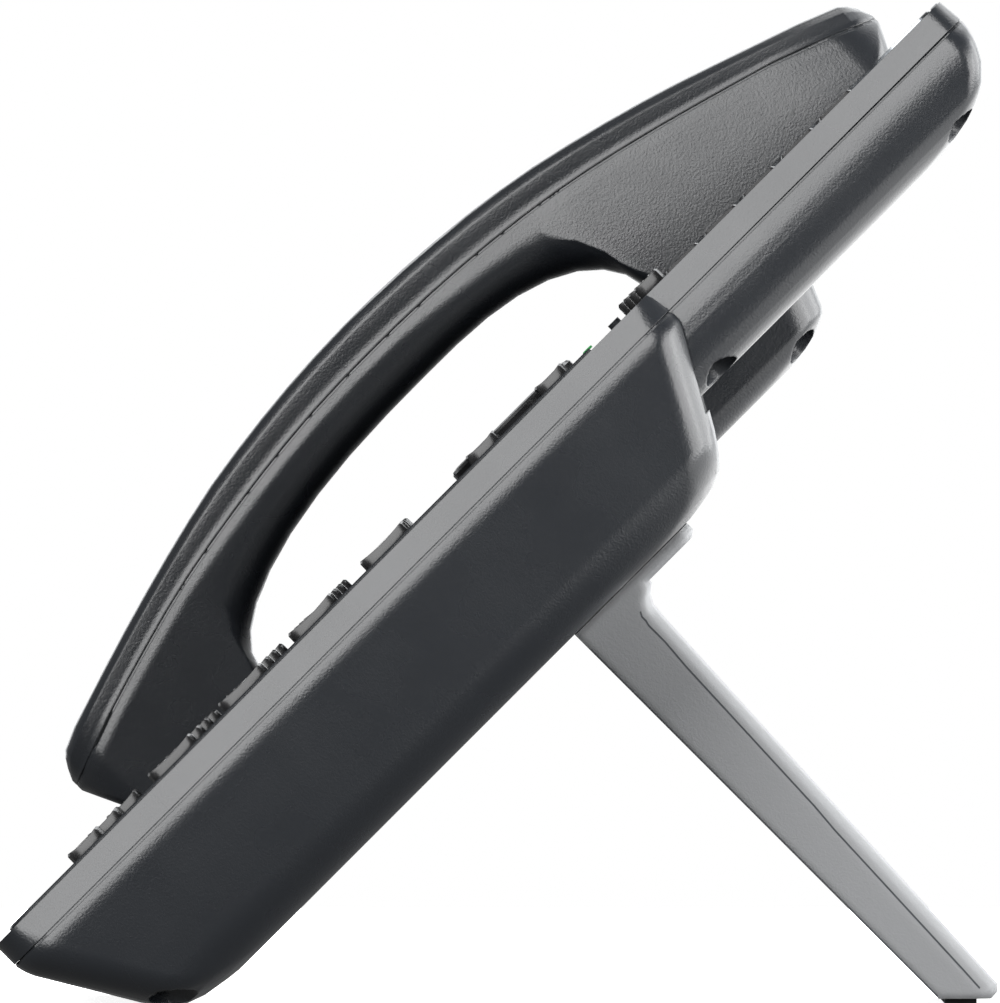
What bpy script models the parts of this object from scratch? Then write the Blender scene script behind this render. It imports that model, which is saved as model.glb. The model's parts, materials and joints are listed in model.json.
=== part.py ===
"""Desk IP phone on a stand, with a corded-style handset and a tilting display.

Every piece is drawn in the face frame, in millimetres: x to the right, s up the sloping
face, t straight out of it.  FACE_FRAME turns that frame into the world (metres, +Z up,
user in front at -Y, resting surface at Z = 0).
"""
import bpy
import bmesh
from math import cos, pi, radians, sin, sqrt
from mathutils import Matrix, Vector

# ---------------------------------------------------------------- driving dimensions, mm
MM = 0.001
FACE_TILT = radians(45.0)
FACE_ORIGIN = Vector((0.0, -94.7, 11.6))
GAP = 0.3                     # clearance between neighbouring pieces
WALL = 2.2                    # moulded wall thickness
COVER_DEPTH = 5.05            # front covers reach this far below the face
SHELL_TOP = -5.55             # rear shells start here, below a 0.5 mm groove

HALF_WIDTH = 115.0
BASE_END = 176.1
CRADLE_END = 204.6
CRADLE_RIGHT = -47.0
BASE_BACK = -35.7
CRADLE_BACK = -29.3
FACEPLATE_RISE = 0.6

FLANK_SLOPE = 0.4             # how far the covers' sides lean in for each mm of height
BASE_FADE = 3.65              # depth below the shell's edge where the base's side turns upright
DISPLAY_FADE = 7.9            # the same on the display, whose side is rounder

HINGE_S, HINGE_T = 167.0, -10.45
BARREL_R = 13.0
POCKET_R = 13.3
PIN_R = 2.0
PIN_CLEARANCE = 0.15
DISPLAY_LEFT, DISPLAY_RIGHT = -44.0, 110.3
DISPLAY_BACK = -20.8

KEY_RISE = 2.7
KEY_FLANGE_TOP = -2.55
KEY_FLANGE_BOTTOM = -3.6
KEY_FLANGE_LIP = 0.5
KEY_CLEARANCE = 0.35
KEY_DRAFT = 0.45                 # a raised key's left and right flanks lean in by this much

HANDSET_X = -81.0
PARTING_HALF = 20.0           # handset's half width at the line where its two shells meet
MOUTH_CUP_HALF, EAR_CUP_HALF = 21.3, 25.8
HANDSET_START, HANDSET_END = 30.3, 243.3
CUP_FLOOR = -3.6
HANDSET_FLOOR = -3.2

BASE_FOOT_Y, BASE_FOOT_DEPTH, BASE_FOOT_HEIGHT = -62.5, 7.0, 1.5
STAND_FOOT_Y, STAND_FOOT_DEPTH, STAND_FOOT_HEIGHT = 87.9, 6.0, 2.4
FOOT_HALF_LENGTH = 48.0

FACE_FRAME = Matrix.Translation(FACE_ORIGIN * MM) @ Matrix.Rotation(FACE_TILT, 4, "X")


# ---------------------------------------------------------------- scene and materials
def clear_scene():
    for old in list(bpy.data.objects):
        bpy.data.objects.remove(old, do_unlink=True)


def material(name, colour, roughness, metallic=0.0):
    mat = bpy.data.materials.new(name)
    mat.use_nodes = True
    shader = mat.node_tree.nodes["Principled BSDF"]
    shader.inputs["Base Color"].default_value = (*colour, 1.0)
    shader.inputs["Roughness"].default_value = roughness
    shader.inputs["Metallic"].default_value = metallic
    return mat


def make_materials():
    return {
        "charcoal": material("charcoal_plastic", (0.045, 0.050, 0.054), 0.5),
        "faceplate": material("cover_plastic", (0.060, 0.065, 0.070), 0.45),
        "key": material("key_plastic", (0.018, 0.018, 0.020), 0.35),
        "stand": material("stand_plastic", (0.30, 0.31, 0.32), 0.5),
        "rubber": material("rubber", (0.020, 0.020, 0.020), 0.85),
        "glass": material("lens_glass", (0.010, 0.012, 0.015), 0.08),
        "lcd": material("display_panel", (0.10, 0.12, 0.15), 0.4),
        "board": material("circuit_board", (0.02, 0.16, 0.07), 0.5),
        "steel": material("steel", (0.60, 0.60, 0.61), 0.3, 1.0),
        "silicone": material("silicone", (0.35, 0.36, 0.37), 0.7),
        "jack": material("jack_plastic", (0.030, 0.030, 0.032), 0.5),
    }


# ---------------------------------------------------------------- shape helpers, face frame mm
def rounded_rect(x0, x1, s0, s1, t, radius, steps=3):
    """Outline of a rounded rectangle at height t, anticlockwise seen from +t."""
    corners = ((x1 - radius, s0 + radius, -90), (x1 - radius, s1 - radius, 0),
               (x0 + radius, s1 - radius, 90), (x0 + radius, s0 + radius, 180))
    points = []
    for cx, cs, start in corners:
        for i in range(steps + 1):
            a = radians(start + 90 * i / steps)
            points.append((cx + radius * cos(a), cs + radius * sin(a), t))
    return points


def circle(cx, cs, t, radius, count=24):
    angles = [2 * pi * i / count for i in range(count)]
    return [(cx + radius * cos(a), cs + radius * sin(a), t) for a in angles]


def loft(rings):
    """Closed solid through rings that all have the same number of points."""
    bm = bmesh.new()
    rows = [[bm.verts.new(p) for p in ring] for ring in rings]
    count = len(rows[0])
    for low, high in zip(rows, rows[1:]):
        for i in range(count):
            j = (i + 1) % count
            bm.faces.new((low[i], low[j], high[j], high[i]))
    bm.faces.new(rows[0][::-1])
    bm.faces.new(rows[-1])
    return bm


def box(x0, x1, s0, s1, t0, t1, radius=0.0, steps=2):
    if radius:
        return loft([rounded_rect(x0, x1, s0, s1, t, radius, steps) for t in (t0, t1)])
    return loft([[(x0, s0, t), (x1, s0, t), (x1, s1, t), (x0, s1, t)] for t in (t0, t1)])


def prism(outline, x0, x1):
    """Extrude an (s, t) outline along x."""
    return loft([[(x, s, t) for s, t in outline] for x in (x0, x1)])


def disc(cx, cs, radius, t0, t1, count=24):
    return loft([circle(cx, cs, t, radius, count) for t in (t0, t1)])


def rod(s, t, radius, x0, x1, count=24):
    """Cylinder along x."""
    angles = [2 * pi * (i + 0.5) / count for i in range(count)]
    return prism([(s + radius * cos(a), t + radius * sin(a)) for a in angles], x0, x1)


def turned(cx, cs, profile, count=32):
    """Ring turned about the face normal from a closed (radius, t) profile."""
    bm = bmesh.new()
    rows = []
    for i in range(count):
        a = 2 * pi * i / count
        rows.append([bm.verts.new((cx + r * cos(a), cs + r * sin(a), t)) for r, t in profile])
    for i in range(count):
        here, after = rows[i], rows[(i + 1) % count]
        for k in range(len(profile)):
            m = (k + 1) % len(profile)
            bm.faces.new((here[k], after[k], after[m], here[m]))
    return bm


def through(points, s):
    """Height of a smooth curve through (s, t) points, by cubic Hermite spans."""
    if s <= points[0][0]:
        return points[0][1]
    for k in range(len(points) - 1):
        (sa, ta), (sb, tb) = points[k], points[k + 1]
        if s <= sb:
            break
    else:
        return points[-1][1]
    chord = (tb - ta) / (sb - sa)
    before = points[k - 1] if k else None
    after = points[k + 2] if k + 2 < len(points) else None
    slope_a = chord if before is None else (tb - before[1]) / (sb - before[0])
    slope_b = chord if after is None else (after[1] - ta) / (after[0] - sa)
    u = (s - sa) / (sb - sa)
    span = sb - sa
    return ((2 * u ** 3 - 3 * u ** 2 + 1) * ta + (u ** 3 - 2 * u ** 2 + u) * span * slope_a
            + (3 * u ** 2 - 2 * u ** 3) * tb + (u ** 3 - u ** 2) * span * slope_b)


def along(points, s):
    """Height of the straight-sided outline through (s, t) points."""
    for (sa, ta), (sb, tb) in zip(points, points[1:]):
        if s <= sb:
            return ta + (tb - ta) * max(0.0, (s - sa) / (sb - sa))
    return points[-1][1]


def flank_inset(t, fade):
    """How far the side lies inside the full width at depth t, from the face to the upright part."""
    below = SHELL_TOP - t
    if below >= 0.0:
        return FLANK_SLOPE / (2 * fade) * max(fade - below, 0.0) ** 2
    return FLANK_SLOPE * (fade / 2 - below)


def back_round(start, end, reach, steps=6):
    """Depths and insets of an edge that rounds off into the back face."""
    angles = [radians(90 * i / steps) for i in range(steps + 1)]
    return [(start + (end - start) * sin(a), reach * (1 - cos(a))) for a in angles]


# ---------------------------------------------------------------- objects
def add_object(name, bm, mat, origin=(0.0, 0.0, 0.0)):
    """Turn a face-frame solid into a named object with its origin at the given point."""
    centre = Vector(origin)
    bmesh.ops.recalc_face_normals(bm, faces=bm.faces)
    bmesh.ops.translate(bm, verts=bm.verts, vec=-centre)
    bmesh.ops.scale(bm, verts=bm.verts, vec=(MM, MM, MM))
    mesh = bpy.data.meshes.new(name)
    bm.to_mesh(mesh)
    bm.free()
    mesh.shade_smooth()
    mesh.set_sharp_from_angle(angle=radians(28))
    if mat:
        mesh.materials.append(mat)
    obj = bpy.data.objects.new(name, mesh)
    bpy.context.scene.collection.objects.link(obj)
    obj.matrix_world = FACE_FRAME @ Matrix.Translation(centre * MM)
    return obj


def combine(obj, bm, operation, label):
    """Join a solid to an object, or cut it away, with a Boolean modifier."""
    tool = add_object(f"tool_{obj.name}_{label}", bm, None)
    tool.hide_render = True
    tool.display_type = "WIRE"
    mod = obj.modifiers.new(label, "BOOLEAN")
    mod.operation = operation
    mod.solver = "EXACT"
    mod.object = tool
    return tool


def cut(obj, bm, label):
    return combine(obj, bm, "DIFFERENCE", label)


def join(obj, bm, label):
    return combine(obj, bm, "UNION", label)


def world_box(centre, size):
    """Solid with level faces, given in world millimetres, drawn in the face frame."""
    cx, cy, cz = centre
    hx, hy, hz = (d / 2 for d in size)
    to_face = FACE_FRAME.inverted()
    rings = []
    for z in (cz - hz, cz + hz):
        corners = ((cx - hx, cy - hy), (cx + hx, cy - hy), (cx + hx, cy + hy), (cx - hx, cy + hy))
        rings.append([tuple((to_face @ (Vector((x, y, z)) * MM)) / MM) for x, y in corners])
    return loft(rings)


# ---------------------------------------------------------------- base housing
BASE_ENDS = (  # depth t, lower end s, upper end s
    (SHELL_TOP, 0.0, 176.1), (-7.1, 0.3, 176.0), (-9.2, 1.2, 175.0), (-27.9, 12.4, 164.2),
    (-30.8, 14.7, 162.1), (-33.4, 18.0, 159.6), (-34.9, 22.5, 155.8), (BASE_BACK, 29.0, 149.5))
CRADLE_ENDS = (  # depth t, upper end s
    (SHELL_TOP, 204.5), (-9.0, 203.6), (-20.6, 200.1), (-26.2, 195.9), (-28.4, 191.5),
    (CRADLE_BACK, 186.5))
CRADLE_START = 120.0
FLANK_DEPTHS = (SHELL_TOP, -6.4, -7.6, -9.2)
BASE_EDGE = back_round(-27.0, BASE_BACK, 11.0)
CRADLE_EDGE = back_round(-25.2, CRADLE_BACK, 6.0)
END_CORNER = 8.0              # plan radius at the sides' ends
BAY = (-54.0, 54.0, 58.0, 100.0)          # cable bay in the back: x0, x1, s0, s1
BAY_FLOOR = -20.0
REAR_PORT_T = -27.2
REAR_JACK_X = (-31.0, 25.0)
REAR_JACK_T = (-32.9, -21.5)
SIDE_JACK_S = (88.5, 127.5)
SIDE_JACK_T = (-23.0, -12.8)
BASE_SCREWS = ((-109.4, 17.0, -25.5), (109.4, 17.0, -25.5))    # x, s, well bottom t
CRADLE_SCREW = (-51.6, 188.5, -21.0)
WELL_R = 3.9
LUG_X = 38.0
LUG_S = (128.4, 141.6)


def end_at(ends, t, column):
    """End of the side outline at depth t: column 1 or 2 of a table that runs from shallow to deep."""
    return along([(-row[0], row[column]) for row in ends], -t)


def base_levels():
    """Depth and side inset of each ring of the base, from its edge to its back."""
    return [(t, flank_inset(t, BASE_FADE)) for t in FLANK_DEPTHS] + BASE_EDGE


def cradle_levels():
    return [(t, flank_inset(t, BASE_FADE)) for t in FLANK_DEPTHS] + CRADLE_EDGE


def base_outer():
    return loft([rounded_rect(-HALF_WIDTH + inset, HALF_WIDTH - inset, end_at(BASE_ENDS, t, 1),
                              end_at(BASE_ENDS, t, 2), t, END_CORNER + inset / 2, 4)
                 for t, inset in base_levels()])


def base_inner():
    rings = [rounded_rect(-HALF_WIDTH + WALL, HALF_WIDTH - WALL, WALL, BASE_END - WALL, 1.0, 6.0)]
    for t, inset in base_levels()[1:-1]:
        half = HALF_WIDTH - inset - WALL
        rings.append(rounded_rect(-half, half, end_at(BASE_ENDS, t, 1) + WALL + 0.4,
                                  end_at(BASE_ENDS, t, 2) - WALL - 0.4,
                                  t + 0.8 * WALL, END_CORNER - 2.0))
    return loft(rings)


def cradle_outer():
    return loft([rounded_rect(-HALF_WIDTH + inset, CRADLE_RIGHT - inset, CRADLE_START,
                              end_at(CRADLE_ENDS, t, 1), t, END_CORNER + inset / 2, 4)
                 for t, inset in cradle_levels()])


def cradle_inner():
    start = CRADLE_START + 30.0
    rings = [rounded_rect(-HALF_WIDTH + WALL, CRADLE_RIGHT - WALL, start, CRADLE_END - WALL, 1.0, 6.0)]
    for t, inset in cradle_levels()[1:-1]:
        grow = inset + WALL
        rings.append(rounded_rect(-HALF_WIDTH + grow, CRADLE_RIGHT - grow, start,
                                  end_at(CRADLE_ENDS, t, 1) - WALL - 0.3, t + 0.8 * WALL,
                                  END_CORNER - 2.0))
    return loft(rings)


def display_clearance():
    """Space that the display's barrel and body sweep."""
    first, last, steps = 128.0, 266.0, 16
    outline = []
    for i in range(steps + 1):
        a = radians(first + (last - first) * i / steps)
        outline.append((HINGE_S + POCKET_R * cos(a), HINGE_T + POCKET_R * sin(a)))
    outline += [(230.0, outline[-1][1]), (230.0, 12.0), (outline[0][0] - 2.5, 12.0)]
    return prism(outline, DISPLAY_LEFT - GAP, DISPLAY_RIGHT + GAP)


def make_base_rear_shell(mats):
    shell = add_object("base_rear_shell", base_outer(), mats["charcoal"])
    join(shell, cradle_outer(), "cradle_extension")
    hollow = cut(shell, base_inner(), "hollow")
    cut(hollow, rod(HINGE_S, HINGE_T, POCKET_R + WALL, DISPLAY_LEFT - 3.0, HALF_WIDTH + 1, 32),
        "pocket_wall")
    x0, x1, s0, s1 = BAY
    cut(hollow, box(x0 - WALL, x1 + WALL, s0 - WALL, s1 + WALL, BASE_BACK - 3, BAY_FLOOR + WALL),
        "bay_wall")
    for k, (x, s, bottom) in enumerate(BASE_SCREWS):
        cut(hollow, disc(x, s, WELL_R + 1.8, -40.0, bottom + 5.0, 16), f"boss_{k}")
    upper = cut(shell, cradle_inner(), "cradle_hollow")
    x, s, bottom = CRADLE_SCREW
    cut(upper, disc(x, s, WELL_R + 1.8, -40.0, bottom + 5.0, 16), "boss")
    cut(shell, display_clearance(), "display_pocket")
    cut(shell, rod(HINGE_S, HINGE_T, PIN_R + PIN_CLEARANCE, DISPLAY_LEFT - 2.9, DISPLAY_RIGHT + 2.4),
        "hinge_bore")
    cut(shell, box(x0, x1, s0, s1, BASE_BACK - 3, BAY_FLOOR, 4.0), "cable_bay")
    cut(shell, box(REAR_JACK_X[0] - GAP, REAR_JACK_X[1] + GAP, s1 - 1, s1 + WALL + 1,
                   REAR_JACK_T[0] - GAP, REAR_JACK_T[1] + GAP), "rear_jack_window")
    cut(shell, box(-HALF_WIDTH - 1, -HALF_WIDTH + 6, SIDE_JACK_S[0] - GAP, SIDE_JACK_S[1] + GAP,
                   SIDE_JACK_T[0] - GAP, SIDE_JACK_T[1] + GAP), "side_jack_window")
    for k, (x, s, bottom) in enumerate(BASE_SCREWS + (CRADLE_SCREW,)):
        cut(shell, disc(x, s, WELL_R, -44.0, bottom, 16), f"screw_well_{k}")
        cut(shell, disc(x, s, 1.5, -30.0, bottom + 8.0, 10), f"screw_hole_{k}")
    for side in (-1, 1):
        x = side * LUG_X
        cut(shell, box(x - 6.0, x + 6.0, LUG_S[0] - GAP, LUG_S[1] + GAP, BASE_BACK - 2, BASE_BACK + 4),
            f"lug_slot_{side}")
    for k in range(6):
        s = 66.0 + 6.0 * k
        cut(shell, box(66.0, 96.0, s, s + 2.2, BASE_BACK - 2, BASE_BACK + 4), f"vent_{k}")
    cut(shell, foot_block(BASE_FOOT_Y, BASE_FOOT_DEPTH, BASE_FOOT_HEIGHT, True), "foot_recess")
    return shell


def foot_block(y, depth, height, recess=False):
    """Rubber foot strip, or the recess that holds it."""
    grow = GAP if recess else 0.0
    low = -2.0 if recess else 0.0
    top = height + grow
    return world_box((0.0, y, (low + top) / 2),
                     (2 * (FOOT_HALF_LENGTH + grow), depth + 2 * grow, top - low))


def make_base_front_cover(mats, keys):
    low, high = flank_inset(-COVER_DEPTH, BASE_FADE), flank_inset(0.0, BASE_FADE)
    cover = add_object("base_front_cover", loft([
        rounded_rect(-HALF_WIDTH + low, HALF_WIDTH - low, 0.0, 176.1, -COVER_DEPTH, END_CORNER, 4),
        rounded_rect(-HALF_WIDTH + high, HALF_WIDTH - high, 0.0, 175.8, 0.0, 6.0, 4),
    ]), mats["faceplate"])
    join(cover, loft([
        rounded_rect(-HALF_WIDTH + low, CRADLE_RIGHT - low, CRADLE_START, 204.5, -COVER_DEPTH,
                     END_CORNER, 4),
        rounded_rect(-HALF_WIDTH + high, CRADLE_RIGHT - high, CRADLE_START, 204.3, 0.0, 6.0, 4),
    ]), "cradle_extension")
    join(cover, loft([
        rounded_rect(-43.0, 109.5, 4.0, 170.0, -1.0, 5.0),
        rounded_rect(-43.0, 109.5, 4.0, 170.0, 0.25, 5.0),
        rounded_rect(-42.6, 109.1, 4.4, 170.0, FACEPLATE_RISE, 4.6),
    ]), "faceplate")
    hollow = cut(cover, loft([
        rounded_rect(-44.8, HALF_WIDTH - WALL, WALL, 170.0, -6.0, 5.0),
        rounded_rect(-44.8, HALF_WIDTH - WALL - 1.6, WALL, 170.0, -WALL, 4.0),
    ]), "key_cavity")
    cut(hollow, rod(HINGE_S, HINGE_T, POCKET_R + 0.9, DISPLAY_LEFT - 3.0, HALF_WIDTH + 1, 32),
        "pocket_wall")
    cut(cover, box(-106.0, -56.0, 80.0, 168.0, -6.0, -WALL, 5.0), "speaker_cavity")
    for label, half, floor, rim in (("mouth_cup", MOUTH_CUP_HALF, (34.0, 70.9), (33.2, 71.7)),
                                    ("ear_cup", EAR_CUP_HALF, (176.6, 230.0), (175.2, 230.0))):
        cut(cover, loft([
            rounded_rect(HANDSET_X - half + 0.4, HANDSET_X + half - 0.4, *floor, CUP_FLOOR, 1.5),
            rounded_rect(HANDSET_X - half, HANDSET_X + half, *rim, 1.0, 1.8),
        ]), label)
    cut(cover, hook_outline(KEY_CLEARANCE, -8.0, 4.0), "hook_hole")
    for k in range(8):
        s = 100.0 + 5.5 * k
        cut(cover, box(-95.0, -67.0, s, s + 2.4, -4.0, 2.0), f"speaker_slot_{k}")
    cut(cover, display_clearance(), "display_pocket")
    for name, tool in keys:
        cut(cover, tool, f"hole_{name}")
    return cover


# ---------------------------------------------------------------- keys
KEY_WIDTH = 22.0
KEY_HEIGHT = 11.6
DIAL_COLUMNS = (-22.0, 6.0, 34.0)
COLUMN_X = 88.0
COLUMN_WIDTH = 24.0
ROWS = (105.2, 86.0, 67.3, 48.5)          # centre s of the right-hand column's keys
ROW_ARC = (0.8, 3.4, 4.8, 5.7)            # how far the left dial column sits above that
ROW_STEPS = (1.0, 0.68, 0.34)             # share of it that each dial column takes
DIAL_NAMES = (("1", "2", "3"), ("4", "5", "6"), ("7", "8", "9"), ("star", "0", "hash"))
NAV_X, NAV_S, NAV_R = 33.0, 139.2, 15.65
OK_R = 6.0
SOFTKEY_X = (72.0, 46.0, 20.0, -6.0)
SOFTKEY_S = (175.6, 174.2, 172.9, 171.7)
LINE_KEY_X = (-33.9, 100.2)
LINE_KEY_WIDTH = 9.0
LINE_KEY_S = tuple(183.2 + 10.2 * k for k in range(5))


def key_plan():
    """Every plain key on the base: name, centre x, centre s, width, height."""
    plan = []
    for names, s, arc in zip(DIAL_NAMES, ROWS, ROW_ARC):
        for name, x, share in zip(names, DIAL_COLUMNS, ROW_STEPS):
            plan.append((f"dial_key_{name}", x, s + arc * share, KEY_WIDTH, KEY_HEIGHT))
    for name, s in zip(("message", "hold", "transfer", "redial"), ROWS):
        plan.append((f"{name}_key", COLUMN_X, s, COLUMN_WIDTH, KEY_HEIGHT))
    plan.append(("speaker_key", COLUMN_X, 25.4, COLUMN_WIDTH, 8.2))
    plan.append(("headset_key", DIAL_COLUMNS[0], 34.4, KEY_WIDTH, 8.2))
    for side, x in (("left", -8.0), ("right", 74.0)):
        plan.append((f"{side}_function_key_1", x, 149.6, COLUMN_WIDTH, 7.4))
        plan.append((f"{side}_function_key_2", x, 131.4, COLUMN_WIDTH, 7.8))
    return plan


VOLUME_X, VOLUME_S, VOLUME_WIDTH, VOLUME_HEIGHT = 27.0, 30.0, 52.0, 8.0
ROCKER_PIVOT_T = -3.4


def key_outline(x, s, width, height, radius, steps=2, mids=2):
    """Right side and mirrored left side of a rounded rectangle, both from low s to high s."""
    half_w, half_h = width / 2, height / 2
    right = []
    for start, sign in ((-90, -1), (0, 1)):
        for i in range(steps + 1):
            a = radians(start + 90 * i / steps)
            right.append((half_w - radius + radius * cos(a),
                          sign * (half_h - radius) + radius * sin(a)))
        if sign < 0:
            low, high = -(half_h - radius), half_h - radius
            right += [(half_w, low + (high - low) * (m + 1) / (mids + 1)) for m in range(mids)]
    return [(x + a, s + b) for a, b in right], [(x - a, s + b) for a, b in right]


def key_solid(x, s, width, height, rise, dish=0.5, radius=2.0, flange=True):
    """Key with a small edge round, a top hollowed along s and, as a rule, a retaining flange."""

    def ring(inset, level, hollow=0.0, draft=0.0):
        right, left = key_outline(x, s, width - 2 * (inset + draft), height - 2 * inset,
                                  max(radius - inset, 0.4))
        def lift(point):
            u = (point[1] - s) / (height / 2)
            return (point[0], point[1], level - hollow * (1 - u * u))
        return [lift(p) for p in right] + [lift(p) for p in reversed(left)]

    rings = []
    if flange:
        rings += [ring(-KEY_FLANGE_LIP, KEY_FLANGE_BOTTOM), ring(-KEY_FLANGE_LIP, KEY_FLANGE_TOP),
                  ring(0.0, KEY_FLANGE_TOP)]
    else:
        rings.append(ring(0.0, ROCKER_PIVOT_T))
    draft = 0.0
    if rise > 1.0:
        draft = KEY_DRAFT
        rings.append(ring(0.0, 0.3))
    rings += [ring(0.05, rise - 0.5, dish, draft), ring(0.45, rise, dish, draft)]
    bm = bmesh.new()
    rows = [[bm.verts.new(p) for p in points] for points in rings]
    count = len(rows[0])
    for low, high in zip(rows, rows[1:]):
        for i in range(count):
            j = (i + 1) % count
            bm.faces.new((low[i], low[j], high[j], high[i]))
    bm.faces.new(rows[0][::-1])
    top = rows[-1]
    for i in range(count // 2 - 1):
        bm.faces.new((top[i], top[i + 1], top[count - 2 - i], top[count - 1 - i]))
    return bm


def key_hole(x, s, width, height, radius=2.0):
    grow = KEY_CLEARANCE
    return box(x - width / 2 - grow, x + width / 2 + grow, s - height / 2 - grow,
               s + height / 2 + grow, -4.0, 3.0, radius + grow)


def make_keys(mats):
    """Base keys.  Returns the hole cutters that the front cover needs."""
    holes = []
    for name, x, s, width, height in key_plan():
        bm = key_solid(x, s, width, height, KEY_RISE)
        add_object(name, bm, mats["key"], (x, s, 0.0))
        holes.append((name, key_hole(x, s, width, height)))
    bm = key_solid(VOLUME_X, VOLUME_S, VOLUME_WIDTH, VOLUME_HEIGHT, KEY_RISE, flange=False)
    rocker = add_object("volume_rocker", bm, mats["key"], (VOLUME_X, VOLUME_S, ROCKER_PIVOT_T))
    join(rocker, box(VOLUME_X - 1.5, VOLUME_X + 1.5, VOLUME_S - 5.6, VOLUME_S + 5.6,
                     ROCKER_PIVOT_T - 0.8, ROCKER_PIVOT_T + 0.8), "pivot_bar")
    holes.append(("volume_rocker", key_hole(VOLUME_X, VOLUME_S, VOLUME_WIDTH, VOLUME_HEIGHT)))
    return holes


def make_navigation(mats):
    pivot = (NAV_X, NAV_S, -3.0)
    inner = OK_R + 0.5
    add_object("nav_ring", turned(NAV_X, NAV_S, (
        (inner, -2.4), (inner, 1.4), (inner + 0.5, 1.7), (inner + 3.2, 1.45), (NAV_R - 2.6, 1.9),
        (NAV_R - 1.5, 2.35), (NAV_R - 0.4, 2.1), (NAV_R, 1.6), (NAV_R, -0.6), (NAV_R - 2.6, -0.9),
        (NAV_R - 2.6, -2.4)), 40), mats["key"], pivot)
    add_object("nav_gimbal", turned(NAV_X, NAV_S, (
        (7.4, -3.9), (7.4, -3.1), (11.6, -3.1), (11.6, -3.9)), 24), mats["steel"], pivot)
    add_object("ok_key", loft([
        circle(NAV_X, NAV_S, KEY_FLANGE_BOTTOM, OK_R),
        circle(NAV_X, NAV_S, 1.1, OK_R),
        circle(NAV_X, NAV_S, 1.5, OK_R - 0.4),
        circle(NAV_X, NAV_S, 1.1, OK_R - 2.8),
    ]), mats["key"], (NAV_X, NAV_S, 0.0))
    return [("nav_ring", disc(NAV_X, NAV_S, NAV_R + KEY_CLEARANCE, -4.0, 3.0, 40))]


# ---------------------------------------------------------------- inside the base
def make_inside(mats):
    add_object("keypad_mat", box(-42.0, 107.0, 14.0, 149.5, -6.3, -4.95, 4.0), mats["silicone"])
    add_object("main_board", box(-60.0, 107.0, 14.0, 149.5, -8.25, -6.65, 2.0), mats["board"])
    speaker = loft([
        circle(HANDSET_X, 124.0, -16.5, 11.0), circle(HANDSET_X, 124.0, -11.0, 11.0),
        circle(HANDSET_X, 124.0, -8.5, 19.0), circle(HANDSET_X, 124.0, -5.4, 19.5)])
    add_object("hands_free_speaker", speaker, mats["jack"])

    x0, x1 = REAR_JACK_X
    t0, t1 = REAR_JACK_T
    s0 = BAY[3] + 0.2
    rear = add_object("rear_jack_block", box(x0, x1, s0, s0 + 18.0, t0, t1), mats["jack"])
    join(rear, box(x0, x1, s0 + WALL + 0.4, s0 + 18.0, t1 - 1.0, -8.6), "riser")
    for k in range(2):
        x = x0 + 8.5 + 16.5 * k
        cut(rear, box(x - 5.9, x + 5.9, s0 - 1, s0 + 12.5, REAR_PORT_T - 4.2, REAR_PORT_T + 4.2),
            f"port_{k}")
    power = loft([[(x1 - 8.5 + 4.2 * cos(a), s, REAR_PORT_T + 4.2 * sin(a))
                   for a in (2 * pi * (i + 0.5) / 8 for i in range(8))] for s in (s0 - 1, s0 + 10.0)])
    cut(rear, power, "power_socket")

    s0, s1 = SIDE_JACK_S
    t0, t1 = SIDE_JACK_T
    side = add_object("handset_jack_block", box(-113.9, -101.2, s0, s1, t0, t1), mats["jack"])
    join(side, box(-110.9, -101.2, s0, s1, t1 - 1.0, -8.6), "riser")
    for k in range(2):
        s = s0 + 9.5 + 20.0 * k
        cut(side, box(-116.0, -103.8, s - 3.95, s + 3.95, -21.4, -14.4), f"port_{k}")


def hook_outline(grow, t0, t1):
    return box(HANDSET_X - 6.0 - grow, HANDSET_X + 6.0 + grow, 187.0 - grow, 193.0 + grow, t0, t1, 1.5)


def make_hookswitch(mats):
    hook = add_object("hookswitch", hook_outline(0.0, -9.0, CUP_FLOOR + 0.1), mats["key"],
                      (HANDSET_X, 190.0, CUP_FLOOR))
    join(hook, box(HANDSET_X - 8.0, HANDSET_X + 8.0, 185.5, 194.5, -9.5, -8.2, 1.5), "flange")


# ---------------------------------------------------------------- stand and feet
STAND_TOP = BASE_BACK - GAP - 0.05
STAND_FRONT = 118.65
STAND_LEVELS = (  # depth t, rear face s, half width, corner radius
    (STAND_TOP, 136.6, 50.0, 2.0),
    (-39.3, 136.0, 50.0, 3.0),
    (-40.6, 134.4, 50.1, 3.4),
    (-42.4, 133.4, 50.2, 3.8),
    (-45.0, 133.1, 50.4, 4.0),
    (-139.4, 128.6, 58.0, 3.6),
    (-140.5, 127.4, 57.4, 3.0),
)
REAR_TOP, REAR_BOTTOM = STAND_LEVELS[4], STAND_LEVELS[5]
STAND_WALL = 2.6
STAND_RIBS = ((-40.6, -68.0), (-70.2, -98.0), (-100.2, -128.0))


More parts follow.
